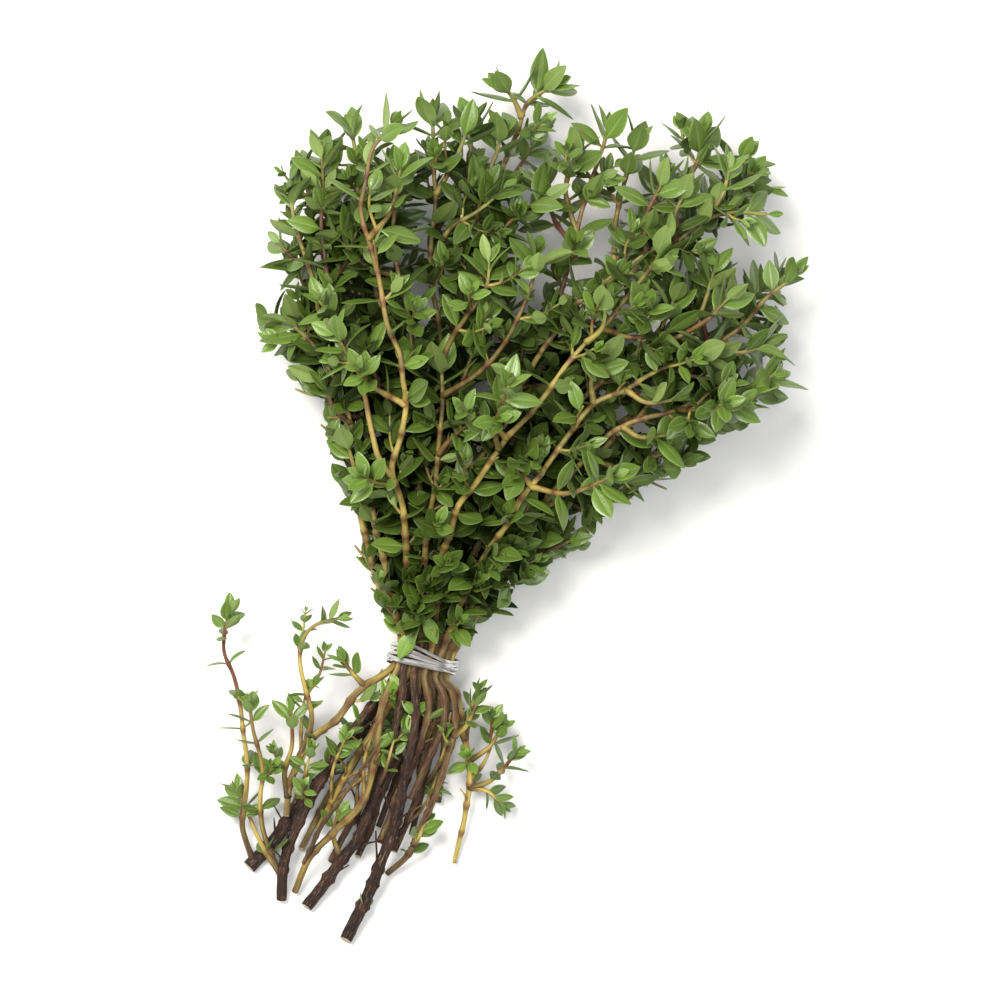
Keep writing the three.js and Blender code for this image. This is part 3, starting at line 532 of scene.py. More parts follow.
def tube(line, ends, age, sides, rng, red=0.0, cut=False, square=0.0):
    """The skin of a stem as rings of corners, with a cut or a rounded face at each end.
    ends is its radius at each point, or at its two ends. Returns the corners, the quads,
    each quad's material, the rings' middles and each corner's values for the material."""
    at, s, nodes = line["at"], line["s"], line["nodes"]
    radii = ends if len(ends) == len(s) else np.interp(s / line["length"], [0, 1], ends)
    radii = radii * (1 + NODE_SWELL * near_nodes(s, nodes, NODE_REACH))
    across, beside = frames_along(line)
    angle = np.arange(sides) * 2 * math.pi / sides
    phase = rng.uniform(0, 6)
    wave = np.sin(3 * angle + s[:, None] * 0.35 + phase)
    wave = wave + 0.6 * np.sin(5 * angle - s[:, None] * 0.8 + 2 * phase)
    wave += 0.7 * np.sin(s[:, None] * 1.9 + 2 * angle + 3 * phase)
    shape = 1 + RIDGE * np.clip(age - RIDGE_AGE, 0, 1)[:, None] * wave
    shape = shape + square * SQUARE * np.cos(4 * angle)
    reach = radii[:, None] * shape
    slant = rng.uniform(*CUT_SLANT) if cut else 0.0
    ring = (
        at[:, None]
        + across[:, None] * (np.cos(angle) * reach)[..., None]
        + beside[:, None] * (np.sin(angle) * reach)[..., None]
    )
    rings = [ring[0] + (at[0] - ring[0]) * 0.3, ring[0] + (at[0] - ring[0]) * 0.04, *ring[1:]]
    if cut:
        lean = ((ring[0] - at[0]) @ UP * slant)[:, None] * line["way"][0]
        rings[0], rings[1] = rings[0] + lean * 0.7, rings[1] + lean
    rings += [ring[-1] + (at[-1] - ring[-1]) * 0.4 + line["way"][-1] * radii[-1] * 0.5]
    rings = np.array(rings)
    rings[..., 2] = np.maximum(rings[..., 2], FLOOR_GAP)
    count = len(rings)
    i, j = np.meshgrid(np.arange(count - 1), np.arange(sides), indexing="ij")
    a, b = i * sides + j, i * sides + (j + 1) % sides
    quads = np.stack([a, b, b + sides, a + sides], -1).reshape(-1, 4)
    fan = np.array([[0, k, k + 1, k + 2] for k in range(1, sides - 2, 2)])
    on_cut = np.concatenate([i.ravel() == 0, np.ones(len(fan), bool), np.zeros(len(fan), bool)])
    run = np.concatenate([[s[0], s[0]], s[1:], [s[-1]]])
    ages = np.concatenate([[age[0], age[0]], age[1:], [age[-1]]])
    collar = near_nodes(run + COLLAR_BELOW, nodes, COLLAR_REACH)
    tender = np.clip((ages - WINE_AGE[0]) / WINE_FADE[0], 0, 1)
    tender = tender * np.clip((WINE_AGE[1] - ages) / WINE_FADE[1], 0, 1)
    along = (run + rng.uniform(0, 400))[:, None]
    grain = np.broadcast_arrays(np.cos(angle), np.sin(angle), along)
    return dict(
        corners=rings.reshape(-1, 3),
        quads=np.vstack([quads, fan[:, ::-1], fan + (count - 1) * sides]),
        material=(on_cut & cut).astype(np.int32),
        middles=rings.mean(1),
        grain=np.stack(grain, -1).reshape(-1, 3),
        age=np.repeat(np.column_stack([ages, collar, red * tender]), sides, axis=0),
    )


# ---------------------------------------------------------------------- leaves
# Thyme leaves: small thick ovals in opposite pairs, each pair turned a quarter from the
# last, on a short stalk. The midrib lies in a shallow groove above and stands out below,
# the margins roll under a little, and each leaf bends and twists in its own way.

ACROSS = np.array([-1, -0.74, -0.24, 0, 0.24, 0.74, 1.0])  # the blade's columns, midrib at 0
ALONG = np.array([0, 0.07, 0.14, 0.24, 0.36, 0.5, 0.64, 0.78, 0.9, 0.97, 1.0])
STALK = 0.11  # share of the leaf's length
STALK_WIDTH = 0.075  # half of it, as a share of the leaf's half width
LEAF_WIDTH = 0.46  # of the blade, as a share of the length
LEAF_THICK = 0.03  # half of it, as a share of the length
GROOVE = 0.022
ROLL = 0.16
LIGHT_TURN = (-0.4, 0.75)  # least and most that a leaf's face turns from its stem to the light
LOST_PAIRS = 0.0  # share of the leaf pairs that have dropped
LEAST_HEIGHT = 0.5  # mm, of a leaf's tip
STEM_CLEARANCE = 1.05  # mm from a leaf's middle line to the middle of another stem
OPEN_CLEARANCE = 1.7  # mm that an open stem keeps clear of leaves on each side
TIE_REACH = 3.7  # mm along the bunch that the tie keeps clear of leaves
TIE_RADIUS = 11
LOW_SHOOTS = (-27, -18)  # x and y below which leaves belong to the side shoots, not the head
RAGGED = 1.8  # mm that the head's outline wanders in and out
SPROUT_LEAN = 0.98  # radians that a side sprout leans from its stem
TIP_START = 4.0  # mm before a stem's end where the pairs of its tip begin
# How many mm further on each of those pairs sits, its size and its tilt in radians.
TIP_PAIRS = ((0.0, 1.0, 0.95), (1.7, 1.0, 0.68), (3.4, 0.74, 0.42), (4.2, 0.44, 0.18))


class Growth:
    """What grows on one sprig, gathered as plain numbers before the meshes are made."""

    def __init__(self, rng, tone):
        self.rng = rng
        self.tone = tone  # 0 to 1, how light a green its leaves are
        self.leaves = []
        self.sprouts = []
        self.skins = []

    def add_leaf(self, foot, along, face, length, width, tone, fresh):
        """A row of numbers. The last is a stand-in until the leaf's openness is known."""
        rng = self.rng
        bend, fold, twist = rng.uniform(-0.35, 0.75), rng.uniform(0.0, 0.34), rng.uniform(-0.4, 0.4)
        shape = [length, width, bend, fold, twist, rng.uniform(0.74, 0.98)]
        self.leaves.append([*foot, *along, *face, *shape, tone, fresh, rng.random()])


def tree_of(points):
    tree = KDTree(len(points))
    for i, point in enumerate(points):
        tree.insert(point, i)
    tree.balance()
    return tree


every_line = [line for group in lines for line in group]
stem_tree = tree_of([point for line in every_line for point in line["at"]])
stem_owner = [line["owner"] for line in every_line for _ in line["at"]]
open_tree = tree_of([(point[0], point[1], 0) for point in open_points])


def leaf_fits(foot, along, length, owner):
    """False for a leaf that cuts into a stem or the tie, hides an open stem or sticks out."""
    tip = foot + along * length
    in_head = np.dot(foot - THROAT, THROAT_AXIS) > 0
    in_head = in_head and not (foot[0] < LOW_SHOOTS[0] and foot[1] < LOW_SHOOTS[1])
    ragged = -RAGGED * math.sin(1.9 * tip[1] + tip[2]) * math.sin(0.8 * tip[0])
    if in_head and not in_rims(tip, ragged):
        return False
    for share in (0.35, 0.65, 0.95):
        point = foot + along * length * share
        _, index, gap = stem_tree.find(point)
        if gap < STEM_CLEARANCE and not (stem_owner[index] == owner and share < 0.5):
            return False
        _, index, gap = open_tree.find((point[0], point[1], 0))
        if gap < OPEN_CLEARANCE and point[2] > open_points[index][2] - 1:
            return False
        from_tie = point - THROAT
        side = from_tie - THROAT_AXIS * np.dot(from_tie, THROAT_AXIS)
        if abs(np.dot(from_tie, THROAT_AXIS)) < TIE_REACH and np.linalg.norm(side) < TIE_RADIUS:
            return False
    return True


def leaning(way, out, lean):
    """The direction that leans out from a stem by an angle."""
    return way * math.cos(lean) + out * math.sin(lean)


def side_of(line, s, turn):
    """The point s mm along a line, the line's direction there and the way out at a turn."""
    start, way = on_line(line, s)
    return start, way, leaning(*sides_of(way), turn)


def lift(points, least):
    for point in points:
        point[2] = max(point[2], least)


def grow_pair(growth, line, s, turn, length, tilt, fresh):
    """Two leaves on opposite sides of a stem, s mm along it."""
    rng = growth.rng
    foot, way = on_line(line, s)
    sides = sides_of(way)
    for side in (0, math.pi):
        for attempt in range(3):
            angle = turn + side + rng.uniform(-0.25, 0.25) * (1 + attempt)
            lean = tilt * rng.uniform(0.8, 1.2)
            out = leaning(*sides, angle)
            along = unit(leaning(way, out, lean))
            size = length * rng.uniform(0.86, 1.12)
            if foot[2] + along[2] * size < LEAST_HEIGHT:
                along[2] = (LEAST_HEIGHT - foot[2]) / size
                along = unit(along)
            if leaf_fits(foot, along, size, line["owner"]):
                break
        else:
            continue
        face = way * math.sin(lean) - out * math.cos(lean)
        turned = rng.uniform(*LIGHT_TURN)
        face = face * (1 - turned) + UP * turned
        face = unit(face - along * np.dot(face, along))
        width = LEAF_WIDTH * rng.uniform(0.9, 1.12)
        growth.add_leaf(foot, along, face, size, width, growth.tone, fresh)


def grow_tip(growth, line, size, fresh, spread=1.0):
    """The last pairs at a tip, each smaller, closer and more upright than the one before."""
    turn = growth.rng.uniform(0, math.pi)
    for on, share, tilt in TIP_PAIRS:
        s = max(0.2, line["length"] - TIP_START + on)
        grow_pair(growth, line, s, turn, size * share, tilt * spread, min(1.0, fresh + on * 0.07))
        turn += math.pi / 2


def grow_sprout(growth, line, s, turn, length, size, fresh, lean=SPROUT_LEAN, spread=1.0):
    """A short leafy side shoot from the foot of a leaf."""
    rng = growth.rng
    start, way, out = side_of(line, s, turn)
    middle = start + leaning(way, out, lean) * length * 0.5
    end = middle + unit(leaning(way, out, lean * 0.65) + UP * 0.3) * length * 0.5
    lift((middle, end), 0.9)
    if length > 4 and stem_tree.find(end)[2] < 1.1:
        return
    sprout = smooth_line([start, middle, end], 0.8, line["owner"])
    growth.sprouts.append(sprout)
    turn = rng.uniform(0, math.pi)
    s = 2.4
    while s < length - 3.4:
        grow_pair(growth, sprout, s, turn, size * rng.uniform(0.85, 1.05), spread, fresh)
        turn += math.pi / 2
        s += rng.uniform(2.6, 3.8)
    grow_tip(growth, sprout, size, fresh + 0.1, spread)


def dress(growth, line, start, gap, size, sprouts):
    """Leaf pairs from start mm along a line to its tip, gap mm apart. sprouts is the share
    of the leaves with a sprout at the foot."""
    rng = growth.rng
    s = start + rng.uniform(0, gap)
    turn = rng.uniform(0, math.pi)
    while s < line["length"] - 5.0:
        share = s / line["length"]
        line["nodes"].append(s)
        here = size * (1 - 0.2 * share**2)
        fresh = 0.12 + 0.3 * share**2 + rng.uniform(0, 0.12)
        if rng.random() > LOST_PAIRS:
            grow_pair(growth, line, s, turn, here, rng.uniform(0.95, 1.3), fresh)
        for side in (0, math.pi):
            if rng.random() < sprouts:
                reach = rng.choice((2.2, 3.2, 6, 9, 12)) * (1 - 0.35 * share)
                grow_sprout(growth, line, s, turn + side + rng.uniform(-0.4, 0.4), reach,
                            here * rng.uniform(0.55, 0.82), fresh)
        turn += math.pi / 2 + rng.uniform(-0.15, 0.15)
        s += gap * rng.uniform(0.8, 1.2) * (1 - 0.35 * share)
    grow_tip(growth, line, size * 0.95, 0.4)


def leaf_corners(rows):
    """The corners of all leaves as leaf, side (upper, under), row, column and xyz."""
    r = np.array(rows, float)
    foot, along, face = (r[:, None, None, k : k + 3] for k in (0, 3, 6))
    length, width, bend, fold, twist, blunt = (r[:, k][:, None, None] for k in range(9, 15))
    across = np.cross(along, face)
    u, y = ACROSS[None, None, :], ALONG[None, :, None]
    t = np.clip((y - STALK) / (1 - STALK), 0, 1)
    outline = np.sin(math.pi * t**blunt) ** 0.74
    half = width / 2 * np.maximum(outline, STALK_WIDTH * (1 - 0.4 * t))
    sheets = []
    for side in (1, -1):
        x = u * half
        z = fold * np.abs(x) - ROLL * np.abs(u) ** 3 * half
        z = z + side * LEAF_THICK * np.sqrt(np.clip(1 - u**2, 0, 1)) * np.minimum(1, 1.2 - t)
        z = z - GROOVE * np.exp(-((u / 0.2) ** 2)) * np.sin(math.pi * t) ** 0.5
        bent = bend * y
        middle_y = np.where(np.abs(bend) < 1e-3, y, np.sin(bent) / np.where(bend == 0, 1, bend))
        middle_z = -(1 - np.cos(bent)) / np.where(bend == 0, 1, bend)
        turn = twist * y
        x, z = x * np.cos(turn) - z * np.sin(turn), x * np.sin(turn) + z * np.cos(turn)
        y_bent, z_bent = middle_y + z * np.sin(bent), middle_z + z * np.cos(bent)
        place = foot
        for part, way in ((x, across), (y_bent, along), (z_bent, face)):
            place = place + (length * part)[..., None] * way
        sheets.append(place)
    corners = np.stack(sheets, 1)
    corners[..., 2] = np.maximum(corners[..., 2], FLOOR_GAP)
    return corners


# ---------------------------------------------------------- growth below the tie
# Old thyme wood carries fine dry side twigs, snapped off short, and young shoots and
# leaf pairs that came up from it.

SPROUT_SIDES = 6
STUB_RADIUS = (0.28, 0.13)  # at the foot and at the tip
WAND_RADIUS = (0.42, 0.22)
STUB_LENGTHS = (1.2, 1.6, 2.2, 3.0, 5, 8, 11)
STUB_SHARE = 0.55  # of what grows from the old wood
WAND_SHARE = 0.2


def grow_stub(growth, line, s, turn, length, bark):
    """A fine dry side twig, snapped off short."""
    rng = growth.rng
    start, way, out = side_of(line, s, turn)
    first = unit(leaning(way, out, rng.uniform(0.25, 0.8)))
    middle = start + first * length * 0.5
    end = middle + unit(first + np.array([rng.uniform(-0.45, 0.45) for _ in range(3)])) * length * 0.5
    lift((middle, end), 0.6)
    from_tie = abs(np.dot(end - THROAT, THROAT_AXIS))
    if from_tie < TIE_REACH or (length > 3 and stem_tree.find(end)[2] < 0.8):
        return
    stub = smooth_line([start, middle, end])
    age = np.full(len(stub["s"]), bark * rng.uniform(0.8, 1.05))
    if length >= 5:
        stub["nodes"].extend(np.arange(2.5, length - 1, 3.4))
    growth.skins.append(tube(stub, STUB_RADIUS, age, SPROUT_SIDES, rng, red=rng.uniform(0, 1)))


def grow_wand(growth, line, s, turn, bark):
    """A thin young shoot that grew up from the old wood, with a few leaves near its tip."""
    rng = growth.rng
    length = rng.uniform(9, 24)
    start, way, out = side_of(line, s, turn)
    lean = rng.uniform(0.3, 0.75)
    middle = start + leaning(way, out, lean) * length * 0.5
    lean *= rng.uniform(-0.2, 0.6)
    end = middle + unit(leaning(way, out, lean) + UP * 0.15) * length * 0.5
    lift((middle, end), 0.8)
    past_tie = np.dot(end - THROAT, THROAT_AXIS)
    if past_tie > -TIE_REACH - 1 or stem_tree.find(end)[2] < 1.0 or stem_tree.find(middle)[2] < 0.9:
        return
    wand = kinked(smooth_line([start, middle, end], 0.8, line["owner"]), rng, 0.3)
    turn = rng.uniform(0, math.pi)
    at = rng.uniform(3, 5)
    while at < length - 3:
        wand["nodes"].append(at)
        if at > length * 0.45 and rng.random() < 0.5:
            grow_pair(growth, wand, at, turn, rng.uniform(3.6, 5.8), 0.9, 0.4)
        turn += math.pi / 2
        at += rng.uniform(3, 5)
    if rng.random() < 0.7:
        grow_tip(growth, wand, rng.uniform(3.6, 5.8), 0.5)
    age = max(0.5, 0.9 * bark) * (1 - wand["s"] / wand["length"]) ** 0.8 + 0.1
    growth.skins.append(tube(wand, WAND_RADIUS, age, SPROUT_SIDES, rng, red=rng.uniform(0, 1)))


def lower_growth(growth, line, from_s, to_s, bark):
    """Stubs, young shoots, sprouts and leaf pairs along the old wood below the tie."""
    rng = growth.rng
    s = from_s + rng.uniform(0, 5)
    while s < to_s:
        line["nodes"].append(s)
        share = s / to_s
        for _ in range(2):
            turn = rng.uniform(0, 2 * math.pi)
            which = rng.random()
            if which < STUB_SHARE:
                grow_stub(growth, line, s, turn, rng.choice(STUB_LENGTHS), bark)
            elif which < STUB_SHARE + WAND_SHARE:
                grow_wand(growth, line, s, turn, bark)
            elif which < 0.77 + 0.1 * share:
                size = rng.uniform(3.4, 5.6)
                reach = rng.choice((1.6, 2.4, 4, 7))
                grow_sprout(growth, line, s, turn, reach, size, rng.uniform(0.2, 0.8))
            elif which < 0.81 + 0.12 * share:
                grow_pair(growth, line, s, turn, rng.uniform(3.6, 6.4), 0.9, 0.3)
        s += rng.uniform(3.6, 6.8)


# ---------------------------------------------------------- growth of each sprig
# Each stem carries pairs of leaves with sprouts at their feet, thickest just above the
# tie, and ages from a tender tip to its woody foot.

MAIN_STEM = dict(gap=8.1, size=9.4, sprouts=0.45)  # mm, mm and share, as dress takes them
HEAD_SHOOT = dict(gap=6.0, size=8.6, sprouts=0.4)
LOW_SHOOT = dict(gap=9.2, size=5.8, sprouts=0.12)
NECK_LENGTH = 34  # mm above the tie in which the outer stems are thick with leaves
NECK_LEAN = 0.45  # radians that these sprouts lean from their stem
NECK_SPREAD = 0.62  # how wide their leaves open
NECK_SHARE = 0.36  # how many of the places for them are filled
BARE_LOW = 6  # mm of each stem's foot that keeps no side growth
WOOD_SIDES = 12
SHOOT_SIDES = 10
SPROUT_RADIUS = (0.36, 0.22)
HEAD_RADII = (0.74, 0.6, 0.38)  # at the tie, a third of the way up and at the tip
OLD_CUT = 1.3  # radius at the cut end above which a stem is one of the oldest
STOUT = 0.76  # share of that radius which an oldest stem's foot keeps at sight
SLIM = 0.58  # the same of a lesser stem: its loose bark has peeled away
TWIG_AGE = 0.72  # of the dry twig
# The bright leaves that hang down over the tie, which grow from the second sprig: foot,
# tip, width as a share of the length, and how fresh a green.
HANGING_LEAVES = (
    ((-17.2, -19.3, 21.0), (-19.9, -26.6, 19.0), 0.52, 0.9),
    ((-18.2, -25.4, 17.6), (-21.4, -31.4, 16.9), 0.5, 1.0),
    ((-16.2, -22.0, 20.0), (-13.6, -28.4, 18.2), 0.42, 0.5),
)
HANGING_TONE = 0.9
# The long dry twig in front of the lower stems, which grows from the fourth sprig.
DRY_TWIG = ((-40.8, -73.2, 5.6), (-37.6, -66.5, 11.5), (-31.2, -57, 17.2), (-24.8, -47.4, 19))
DRY_TWIG_RADIUS = (0.55, 0.2)


def neck_growth(growth, stem, slot):
    """Leafy sprouts just above the tie, towards the open sides of the stem's slot."""
    rng = growth.rng
    row, place = slot
    s = stem["tie_s"] + 3 + rng.uniform(0, 3)
    while s < stem["tie_s"] + NECK_LENGTH:
        stem["nodes"].append(s)
        outward = []
        if row >= 1:
            outward.append(math.pi / 2 + rng.uniform(-1.1, 1.1))
        if place == 0:
            outward.append(rng.uniform(-0.5, 0.8))
        if place == MIDDLE_ROW - abs(row):
            outward.append(math.pi - rng.uniform(-0.5, 0.8))
        for turn in outward:
            if rng.random() < NECK_SHARE:
                reach = rng.choice((1.8, 2.6, 3.6, 5))
                size = rng.uniform(5.6, 8.4)
                grow_sprout(growth, stem, s, turn, reach, size, rng.uniform(0.1, 0.6),
                            NECK_LEAN, NECK_SPREAD)
        s += rng.uniform(5.0, 8.0)


def grow_stem_skin(growth, stem, sprig):
    """The skin of a whole stem, woody below the tie. Returns its age along the stem."""
    s, tie_s, bark = stem["s"], stem["tie_s"], sprig["bark"]
    beyond = np.clip((s - tie_s) / stem["head"], 0, 1)
    at_tie = 0.3 + 0.5 * bark
    age_low = bark + (at_tie - bark) * np.clip(s / tie_s, 0, 1) ** 2
    age_high = np.interp(beyond, [0, 0.22, 0.6, 0.85, 1], [at_tie, 0.4, 0.3, 0.16, 0.05])
    age = np.where(s > tie_s, age_high, age_low)
    foot = sprig["cut"] * (STOUT if sprig["cut"] > OLD_CUT else SLIM)
    low = foot + (HEAD_RADII[0] - foot) * np.clip(s / (0.85 * tie_s), 0, 1)
    radii = np.where(s < tie_s, low, np.interp(beyond, [0, 0.33, 1], HEAD_RADII))
    red = growth.rng.uniform(0.1, 0.8)
    growth.skins.append(tube(stem, radii, age, WOOD_SIDES, growth.rng, red, cut=True, square=0.2))
    return age


def grow_shoot(growth, shoot, stem, stem_age, row):
    """A shoot or side twig with its leaves and its skin."""
    rng = growth.rng
    if shoot["from_s"] < stem["tie_s"]:
        dress(growth, shoot, 3, **LOW_SHOOT)
        start_age, red = 0.7, rng.uniform(0.3, 1.0)
    else:
        bare_foot = 0.3 * shoot["length"] if row == 2 and not shoot["is_twig"] else 2.0
        dress(growth, shoot, bare_foot, **HEAD_SHOOT)
        own_age = float(np.interp(shoot["from_s"], stem["s"], stem_age))
        start_age, red = min(0.42, own_age * 0.85), rng.uniform(0.1, 0.85)
        if shoot["is_twig"]:
            red = rng.uniform(0.4, 1.0)
    share = shoot["s"] / shoot["length"]
    age = start_age * (1 - share) ** 1.1 + 0.05
    radii = np.interp(share, [0, 1], (SHOOT_RADIUS, SHOOT_TIP_RADIUS))
    radii = radii * (1 + 0.45 * np.exp(-shoot["s"] / 1.2))
    growth.skins.append(tube(shoot, radii, age, SHOOT_SIDES, rng, red, square=0.8))


grown = {}
for number, (sprig, (stem, *shoots)) in enumerate(zip(SPRIGS, lines)):
    rng = random.Random(41 + number)
    row, place = sprig["slot"]
    # Each sprig's green: lighter for the upper rows and darker for the lower ones, which is painted shade,
    # darker towards the right, and a random part.
    tone = float(np.clip(0.5 + 0.2 * row - 0.09 * place + rng.uniform(-0.2, 0.2), 0, 1))
    growth = Growth(rng, tone)
    dress(growth, stem, stem["tie_s"] + 3 + sprig["bare"] * stem["head"], **MAIN_STEM)
    neck_growth(growth, stem, sprig["slot"])
    if number == 1:
        for foot, tip, width, fresh in HANGING_LEAVES:
            foot, tip = np.array(foot), np.array(tip)
            along = unit(tip - foot)
            face = unit(UP - along * along[2])
            growth.add_leaf(foot, along, face, np.linalg.norm(tip - foot), width, HANGING_TONE, fresh)
    if number == 3:
        twig = kinked(smooth_line(DRY_TWIG), rng, 0.4)
        twig["nodes"].extend(np.arange(3.5, twig["length"], 4.6))
        age = np.full(len(twig["s"]), TWIG_AGE)
        growth.skins.append(tube(twig, DRY_TWIG_RADIUS, age, SPROUT_SIDES, rng))
    lower_growth(growth, stem, BARE_LOW, stem["tie_s"] - 6, sprig["bark"])
    stem_age = grow_stem_skin(growth, stem, sprig)
    for shoot in shoots:
        grow_shoot(growth, shoot, stem, stem_age, row)
    for sprout in growth.sprouts:
        age = 0.3 * (1 - sprout["s"] / sprout["length"]) + 0.04
        red = rng.uniform(0.0, 0.8)
        growth.skins.append(tube(sprout, SPROUT_RADIUS, age, SPROUT_SIDES, rng, red))
    grown[f"sprig_{number + 1:02d}"] = growth

# --------------------------------------------------------------- sprig pieces
# Each sprig is shown as two pieces that ride together: its wood, with side shoots, and
# its leaves. They stand for that sprig's own solid.

BLADE_MIDDLE = 0.55  # where the blade is widest, as a share of its length
SHADE_WIDTH = 0.42  # half the width of the blade as it casts shade, as a share of its width
# Rays cast past the leaves find how open each leaf and stem is to light; the materials darken them by it, as
# painted shade.
LIGHT_WAYS = 22  # directions in which light may reach a place
LIGHT_TURNS = 2.4  # radians round from one direction to the next
LIGHT_REACH = 24.0  # mm within which a leaf shades another
LIGHT_START = 1.3  # mm from the leaf itself
CELL_INSET = 0.06  # of a leaf face in its cell of the map that a baked image uses

blades = np.vstack([growth.leaves for growth in grown.values()])
foot, along, face, size = blades[:, 0:3], blades[:, 3:6], blades[:, 6:9], blades[:, 9:10]
aside = np.cross(along, face) * size * blades[:, 10:11] * SHADE_WIDTH
middle = foot + along * size * BLADE_MIDDLE
shades = np.stack([foot, middle + aside, foot + along * size, middle - aside], 1).reshape(-1, 3)
shading = BVHTree.FromPolygons(shades.tolist(), np.arange(len(shades)).reshape(-1, 4).tolist())
turns = np.arange(LIGHT_WAYS)
height = 1 - (turns + 0.5) * 2 / LIGHT_WAYS
circle = np.sqrt(1 - height**2)
east, north = np.cos(turns * LIGHT_TURNS), np.sin(turns * LIGHT_TURNS)
light_ways = [Vector(way) for way in np.column_stack([circle * east, circle * north, height])]


def openness(points):
    """The share of directions from each point in which no leaf stands in the way."""
    shares = []
    for point in points:
        start = Vector(point)
        hits = [shading.ray_cast(start + way * LIGHT_START, way, LIGHT_REACH)[0] for way in light_ways]
        shares.append(hits.count(None) / LIGHT_WAYS)
    return np.array(shares)


def put_mesh(name, corners, quads, *materials):
    """A smooth piece from corners in millimetres and four-sided faces."""
    mesh = bpy.data.meshes.new(name)
    mesh.vertices.add(len(corners))
    mesh.vertices.foreach_set("co", ((corners + LAYOUT_SHIFT) * MM).astype(np.float32).ravel())
    mesh.loops.add(quads.size)
    mesh.loops.foreach_set("vertex_index", quads.astype(np.int32).ravel())
    mesh.polygons.add(len(quads))
    mesh.polygons.foreach_set("loop_start", np.arange(0, quads.size, 4, dtype=np.int32))
    mesh.polygons.foreach_set("use_smooth", np.ones(len(quads), bool))
    mesh.update(calc_edges=True)
    mesh.validate()
    for material in materials:
        mesh.materials.append(material)
    piece = bpy.data.objects.new(name, mesh)
    bpy.context.scene.collection.objects.link(piece)
    return piece


def put_values(piece, name, values):
    """Three numbers per corner for the piece's material."""
    made = piece.data.attributes.new(name, "FLOAT_VECTOR", "POINT")
    made.data.foreach_set("vector", np.asarray(values).astype(np.float32).ravel())


def linear(colour):
    """An sRGB hex colour as linear numbers with full alpha."""
    parts = [int(colour[k : k + 2], 16) / 255 for k in (1, 3, 5)]
    return (*[c / 12.92 if c <= 0.04045 else ((c + 0.055) / 1.055) ** 2.4 for c in parts], 1.0)


def feed(node, inputs):
    """Sets a node's inputs, each to a number, a hex colour or the output that feeds it."""
    for socket, value in inputs.items():
        if isinstance(value, bpy.types.NodeSocket):
            node.id_data.links.new(value, node.inputs[socket])
        else:
            node.inputs[socket].default_value = linear(value) if isinstance(value, str) else value


def add_node(tree, kind, inputs, output=0, **settings):
    """Adds a node with its settings and links, and returns one of its outputs."""
    made = tree.nodes.new("ShaderNode" + kind)
    for name, value in settings.items():
        setattr(made, name, value)
    feed(made, inputs)
    return made.outputs[output]


def new_material(name):
    material = bpy.data.materials.new(name)
    material.use_nodes = True
    return material, material.node_tree, material.node_tree.nodes["Principled BSDF"]


# Living thyme stem and old thyme bark. A tender tip is green to wine red and satin. It
# turns golden and then to dull brown wood, with blotches about 7 mm long and lengthwise
# cracks about 1.6 mm long, drawn as wide as they need to be to show. A brown scar goes
# round the stem under each pair of leaves. Each part of a stem is also darker the less it
# is open to the light between the leaves: painted shade.
SKIN = (
    (0.0, "#6d7c36"), (0.14, "#8d8c48"), (0.3, "#b3a257"), (0.46, "#98843f"),
    (0.6, "#6c5a33"), (0.74, "#493524"), (0.88, "#312018"), (1.0, "#1f130f"),
)  # by age
stem_skin, tree, shader = new_material("thyme_stem_and_bark")
kept = add_node(tree, "Attribute", {}, "Vector", attribute_name="stem_age")
age, collar, red = add_node(tree, "SeparateXYZ", {0: kept}).node.outputs
grain = add_node(tree, "Attribute", {}, "Vector", attribute_name="stem_grain")
patches = add_node(tree, "VectorMath", {0: grain, 1: (1.0, 1.0, 0.16)}, operation="MULTIPLY")
blotch = add_node(tree, "TexNoise", {"Vector": patches, "Scale": 0.9, "Detail": 3})
strips = add_node(tree, "VectorMath", {0: grain, 1: (2.6, 2.6, 0.35)}, operation="MULTIPLY")
crack = add_node(tree, "TexNoise", {"Vector": strips, "Scale": 1.8, "Detail": 5, "Roughness": 0.65})
ripe = add_node(tree, "Math", {0: blotch, 1: 0.56, 2: age}, operation="MULTIPLY_ADD")
ripe = add_node(tree, "Math", {0: ripe, 1: -0.27}, operation="ADD", use_clamp=True)
skin = add_node(tree, "ValToRGB", {0: ripe})
ramp = skin.node.color_ramp
while len(ramp.elements) < len(SKIN):
    ramp.elements.new(0.5)
for element, (position, colour) in zip(ramp.elements, SKIN):
    element.position = position
    element.color = linear(colour)
flaky = add_node(tree, "MapRange", {0: crack, 1: 0.55, 2: 0.72, 3: 0.0, 4: 0.6})
old = add_node(tree, "MapRange", {0: age, 1: 0.5, 2: 0.8})
flaky = add_node(tree, "Math", {0: flaky, 1: old}, operation="MULTIPLY")
colour = add_node(tree, "Mix", {0: flaky, 6: skin, 7: "#7d6a52"}, 2, data_type="RGBA")
colour = add_node(tree, "Mix", {0: red, 6: colour, 7: "#5e2c22"}, 2, data_type="RGBA")
scar = add_node(tree, "MapRange", {0: age, 1: 0.45, 2: 0.75, 3: 0.85, 4: 0.2})
scar = add_node(tree, "Math", {0: collar, 1: scar}, operation="MULTIPLY")
colour = add_node(tree, "Mix", {0: scar, 6: colour, 7: "#532818"}, 2, data_type="RGBA")
cracked = add_node(tree, "MapRange", {0: crack, 1: 0.35, 2: 0.62, 3: 0.5, 4: 1.25})
woody = add_node(tree, "MapRange", {0: age, 1: 0.3, 2: 0.7})
level = add_node(tree, "Mix", {0: woody, 2: 1.0, 3: cracked}, data_type="FLOAT")
